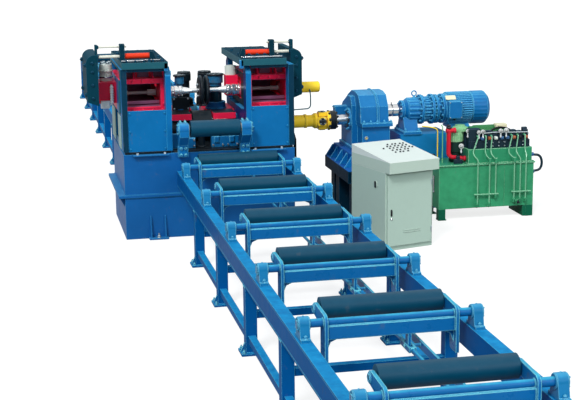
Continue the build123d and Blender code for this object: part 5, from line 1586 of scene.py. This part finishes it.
@dataclass
class RollerTable:
    """Bearing rings, bolts, welds and gussets of the two roller tables."""

    half: float = 0.506
    pitch: float = 1.2
    axle_z: float = 0.71
    hub_z: float = 0.728
    reach: float = 0.212
    plate_x: float = 0.392
    plate_thick: float = 0.02
    rail_z: tuple[float, float] = (0.475, 0.62)

    def build(self) -> None:
        """Adds the small parts of both tables."""
        front = [(0.235, -0.89 - self.pitch * k, 1) for k in range(6)]
        rear = [(-0.05, 1.54 + self.pitch * k, -1) for k in range(7)]
        for label, stations in (("front", front), ("rear", rear)):
            self.pillows(label, stations)
        for k, station in enumerate(front):
            self.rocker(f"front_{k + 1}", [station], f"lift_{k + 1}")
        self.rocker("rear", rear, "machine")
        front_legs = [(0.235, -1.63 - self.pitch * k) for k in range(5)] + [(0.235, -7.25)]
        rear_legs = [(-0.05, 0.94 + self.pitch * k) for k in range(8)]
        self.legs("front", front_legs)
        self.legs("rear", rear_legs)
        self.link_pins()
        sides = []
        for cx, low, high in ((0.235, -7.309, -0.561), (-0.05, 0.561, 9.399)):
            for side in (-1, 1):
                face = sorted((cx + side * 0.5425, cx + side * 0.5455))
                sides.append(box((face[0], low, self.rail_z[0] + 0.0125),
                                 (face[1], high, self.rail_z[1] - 0.0125), 0.001, 0.0008))
        put("rail_side_plates", joined(sides), RAIL)

    def pillows(self, label: str, stations: list[tuple[float, float, int]]) -> None:
        """Foot bolts, bearing rings, ring screws and grease nipples of the pillow blocks."""
        ring = ring_part([(0, 0.0265), (0, 0.041), (0.004, 0.041), (0.006, 0.039), (0.006, 0.0265)],
                         28)
        screw = hex_bolt(0.009, 0.005, 0.001).copied(bolt_circle(0.034, 4, math.pi / 4))
        foot = hex_bolt(0.02, 0.013, 0.003, 0.006)
        nipple = turned_part([(0, 0.005), (0.004, 0.005), (0.006, 0.003)], 10)
        rings, bolts = [], []
        for cx, y, away in stations:
            for side, out, back in ((-1, Facing.LEFT, Facing.RIGHT), (1, Facing.RIGHT, Facing.LEFT)):
                x = cx + side * self.half
                for facing, face in ((out, x + side * 0.029), (back, x - side * 0.029)):
                    rings.append(ring.faced(facing).moved(face, y, self.axle_z))
                bolts.append(screw.faced(out).moved(x + side * 0.0345, y, self.axle_z))
                bolts.append(foot.copied([[x, y - 0.063, 0.64], [x, y + 0.063, 0.64]]))
                bolts.append(nipple.moved(x, y, self.axle_z + 0.0425))
        put(f"{label}_bearing_rings", joined(rings), PILLOW)
        put(f"{label}_pillow_bolts", joined(bolts), PILLOW)

    def rocker(self, label: str, stations: list[tuple[float, float, int]], body: str) -> None:
        """Hub rings, axle nuts and weld beads of the swinging frames."""
        hub = joined([ring_part([(0, 0.0178), (0, 0.031), (0.004, 0.031), (0.006, 0.029),
                                 (0.006, 0.0178)], 28),
                      ring_part([(0.006, 0.0178), (0.006, 0.024), (0.011, 0.023),
                                 (0.011, 0.0178)], 6)])
        inner = ring_part([(0, 0.0212), (0, 0.027), (0.005, 0.0235), (0.005, 0.0212)], 24)
        outer = ring_part([(0, 0.0252), (0, 0.031), (0.005, 0.0275), (0.005, 0.0252)], 24)
        hubs, beads = [], []
        for cx, y, away in stations:
            for side, out, back in ((-1, Facing.LEFT, Facing.RIGHT), (1, Facing.RIGHT, Facing.LEFT)):
                face, inside = cx + side * self.plate_x, cx + side * (self.plate_x - self.plate_thick)
                hubs.append(hub.faced(out).moved(face, y + away * self.reach, self.hub_z))
                beads.append(inner.faced(back).moved(inside, y, self.axle_z))
                beads.append(outer.faced(out).moved(face, y, self.axle_z))
                for edge in (-0.031, 0.031):
                    beads.append(weld((inside - side * 0.001, y + edge, 0.617),
                                      (inside - side * 0.001, y + edge, 0.69), 0.004))
            beads.append(weld((cx - 0.37, y - 0.018, 0.693), (cx + 0.37, y - 0.018, 0.693), 0.004))
        put(f"{label}_hub_rings", joined(hubs), PILLOW, body)
        put(f"{label}_rocker_beads", joined(beads), TABLE_BLUE, body)

    def legs(self, label: str, spots: list[tuple[float, float]]) -> None:
        """Anchor bolts, foot gussets and weld beads at the legs."""
        anchor = hex_bolt(0.02, 0.012, 0.003, 0.012)
        rib = plate([(0, 0), (0.033, 0), (0.006, 0.06), (0, 0.06)], 0.006, 0.001)
        places, plates, beads = [], [], []
        for cx, y in spots:
            for side in (-1, 1):
                x = cx + side * self.half
                places.append(grid_places([x - 0.057, x + 0.057], [y - 0.057, y + 0.057], [0.016]))
                for way in (-1, 1):
                    turn = [[way, 0, 0], [0, 0, -1], [0, 1, 0]]
                    plates.append(rib.turned(turn).moved(x + way * 0.04, y + 0.003, 0.0162))
                    beads.append(weld((x + way * 0.04, y - 0.04, 0.474), (x + way * 0.04, y + 0.04, 0.474),
                                      0.004))
        put(f"{label}_leg_anchors", anchor.copied(np.concatenate(places)), TABLE_BLUE)
        put(f"{label}_leg_gussets", joined(plates), TABLE_BLUE)
        put(f"{label}_leg_beads", joined(beads), TABLE_BLUE)

    def link_pins(self) -> None:
        """Nuts on the pins that join the link rod to the levers."""
        nut = hex_bolt(0.026, 0.010, 0.002, 0.005)
        spots = [nut.faced(Facing.LEFT).moved(0.33, -0.89 - self.pitch * k, 0.535) for k in range(6)]
        put("link_pin_nuts", joined(spots), ZINC, "link")


@dataclass
class Stage:
    """Floor, lights and the camera of the photograph."""

    camera_at: tuple[float, float, float] = (-1.8202, -12.7062, 2.9584)
    yaw: float = 12.02
    pitch: float = 12.13
    roll: float = -0.59
    lens: float = 83.22
    floor_half: float = 60.0

    def build(self) -> None:
        """Sets the colour handling and makes the camera, the lights and the floor."""
        bpy.context.scene.view_settings.view_transform = "Standard"
        self.camera()
        self.sun("key_light", (-0.46, -0.66, 0.85), 2.1, 14.0)
        self.sun("fill_light", (0.6, -0.75, 0.45), 0.85, 40.0)
        self.sky()
        self.floor()

    def camera(self) -> None:
        """Camera whose columns are right, up and backward, worked out from the three angles."""
        y, p, r = (math.radians(a) for a in (self.yaw, self.pitch, self.roll))
        ahead = np.array([math.sin(y) * math.cos(p), math.cos(y) * math.cos(p), -math.sin(p)])
        level = np.array([math.cos(y), -math.sin(y), 0.0])
        top = np.cross(level, ahead)
        right = math.cos(r) * level + math.sin(r) * top
        up = -math.sin(r) * level + math.cos(r) * top
        data = bpy.data.cameras.new("photo_camera")
        data.sensor_width, data.lens = 36.0, self.lens
        data.clip_start, data.clip_end = 0.1, 500.0
        made = bpy.data.objects.new("photo_camera", data)
        turn = np.eye(4)
        turn[:3, 0], turn[:3, 1], turn[:3, 2], turn[:3, 3] = right, up, -ahead, self.camera_at
        made.matrix_world = Matrix(turn.tolist())
        bpy.context.scene.collection.objects.link(made)
        bpy.context.scene.camera = made

    def sun(self, name: str, toward: Sequence[float], strength: float, spread: float) -> None:
        """Soft distant lamp that shines from the given direction."""
        data = bpy.data.lights.new(name, "SUN")
        data.energy, data.angle = strength, math.radians(spread)
        made = bpy.data.objects.new(name, data)
        w = np.array(toward) / np.linalg.norm(toward)
        u = np.cross((0, 0, 1), w)
        u /= np.linalg.norm(u)
        turn = np.eye(4)
        turn[:3, 0], turn[:3, 1], turn[:3, 2] = u, np.cross(w, u), w
        made.matrix_world = Matrix(turn.tolist())
        bpy.context.scene.collection.objects.link(made)

    def sky(self) -> None:
        """World: plain grey light, white for the camera, and for reflections a soft gradient.

        The gradient rises from a dim cool horizon to white overhead: share = smooth step of the
        direction's height from 0.1 to 0.7.
        """
        world = bpy.data.worlds.new("studio")
        bpy.context.scene.world = world
        world.use_nodes = True
        world.node_tree.nodes.clear()
        b = Bench(world.node_tree)
        rays = b.node("ShaderNodeLightPath")
        way = b.node("ShaderNodeSeparateXYZ")
        b.feed(way.inputs[0], b.node("ShaderNodeTexCoord").outputs["Generated"])
        share = b.node("ShaderNodeMapRange", interpolation_type="SMOOTHSTEP")
        b.feed(share.inputs["Value"], way.outputs[2])
        share.inputs["From Min"].default_value, share.inputs["From Max"].default_value = 0.1, 0.7
        mirror = b.blend(share.outputs[0], (0.14, 0.32, 0.47, 1), (1, 1, 1, 1))
        soft = b.blend(rays.outputs["Is Glossy Ray"], (0.56, 0.61, 0.62, 1), mirror)
        light = b.node("ShaderNodeBackground")
        b.feed(light.inputs["Color"], b.blend(rays.outputs["Is Camera Ray"], soft, (1, 1, 1, 1)))
        b.feed(b.node("ShaderNodeOutputWorld").inputs[0], light.outputs[0])

    def floor(self) -> None:
        """Pale floor: a flat disc that shows white and keeps the soft shadow."""
        r = np.array([0.0001, 1.0, 4.0, 12.0, 30.0, self.floor_half])
        t = np.linspace(0, 2 * math.pi, 64, endpoint=False)
        x, y = r[:, None] * np.cos(t), r[:, None] * np.sin(t)
        grid = np.stack([x, y, np.full_like(x, -0.0015)], axis=-1)
        shell = skin(grid[::-1])
        shell.ends = shell.ends[1:]
        mesh = bpy.data.meshes.new("floor")
        faces = shell.quads.tolist() + [end.tolist() for end in shell.ends]
        mesh.from_pydata(shell.points.tolist(), [], faces)
        mesh.update()
        made = bpy.data.objects.new("floor", mesh)
        bpy.context.scene.collection.objects.link(made)
        paint = bpy.data.materials.new("floor_white")
        paint.use_nodes = True
        paint.node_tree.nodes.clear()
        b = Bench(paint.node_tree)
        rays = b.node("ShaderNodeLightPath")
        seen = b.sums("MAXIMUM", rays.outputs["Is Camera Ray"], b.sums(
            "MULTIPLY", rays.outputs["Is Glossy Ray"], 0.2))
        grey = b.node("ShaderNodeBsdfDiffuse")
        grey.inputs["Color"].default_value = (0.30, 0.30, 0.30, 1)
        glow = b.node("ShaderNodeEmission")
        b.feed(glow.inputs["Strength"], b.sums("MULTIPLY", seen, 0.78))
        both = b.node("ShaderNodeAddShader")
        b.feed(both.inputs[0], grey.outputs[0])
        b.feed(both.inputs[1], glow.outputs[0])
        b.feed(b.node("ShaderNodeOutputMaterial").inputs[0], both.outputs[0])
        mesh.materials.append(paint)


def dress_solids() -> None:
    """Gives every CAD node its finish."""
    dress(BASE_BLUE, "base")
    dress(TOWER_BLUE, "towers")
    dress(BLUE, "gear_reducer", "cycloid_reducer", "drive_motor", "entry_posts")
    dress(TABLE_BLUE, "rear_rockers", "link_rod", *[f"rocker_{k}" for k in range(1, 7)])
    dress(RAIL, "table_rails", "table_legs", "table_ties")
    dress(PILLOW, "pillow_blocks")
    dress(TEAL, "caps")
    dress(PEDESTAL, "pedestal")
    dress(yoke_finish(-1), "yoke_left")
    dress(yoke_finish(1), "yoke_right")
    dress(DARK, "press_wheel_left", "press_wheel_right")
    dress(ROLL_STEEL, "main_roll")
    dress(ROLLER, "rear_rollers", "entry_roller", *[f"table_roller_{k}" for k in range(1, 7)])
    dress(GUIDE, "guide_roller_front_left", "guide_roller_front_right")
    dress(DARK, "guide_roller_rear_left", "guide_roller_rear_right")
    dress(RED, "carriage_left", "guide_arms")
    dress(RED_RIGHT_SHADED, "carriage_right")
    dress(ORANGE, "shift_cylinders")
    dress(PALE, "press_cylinder", "inner_cylinder")
    dress(YELLOW, "end_cylinder")
    dress(DRIVE_YELLOW, "cardan_shaft")
    dress(CHROME, "input_coupling")
    dress(spindle_finish(-1), "spindle_left")
    dress(spindle_finish(1), "spindle_right")
    dress(CONSOLE, "console_body", "console_door")
    dress(LID, "console_lid")
    dress(GREEN, "tank_shell", "tank_ends")
    dress(DEEP_GREEN, "tank_legs")
    dress(COVER_GREEN, "tank_cover")
    dress(NAVY, "valve_manifold")
    dress(PUMP_GREEN, "pump_units")


def main() -> None:
    """Builds and dresses the machine, one sub-assembly after the other."""
    logging.basicConfig(level=logging.INFO, format="%(message)s")
    GROUPS["wear_and_top_light"] = make_wear_and_top_light()
    GROUPS["painted_edge_highlight"] = make_edge_highlight()
    dress_solids()
    for part in (Stage(), PressTowers(), Carriages(), RollStand(), DriveLine(), GearDrive(),
                 PowerPack(), ControlConsole(), RollerTable()):
        log.info("building %s", type(part).__name__)
        part.build()


if __name__ == "__main__":
    main()
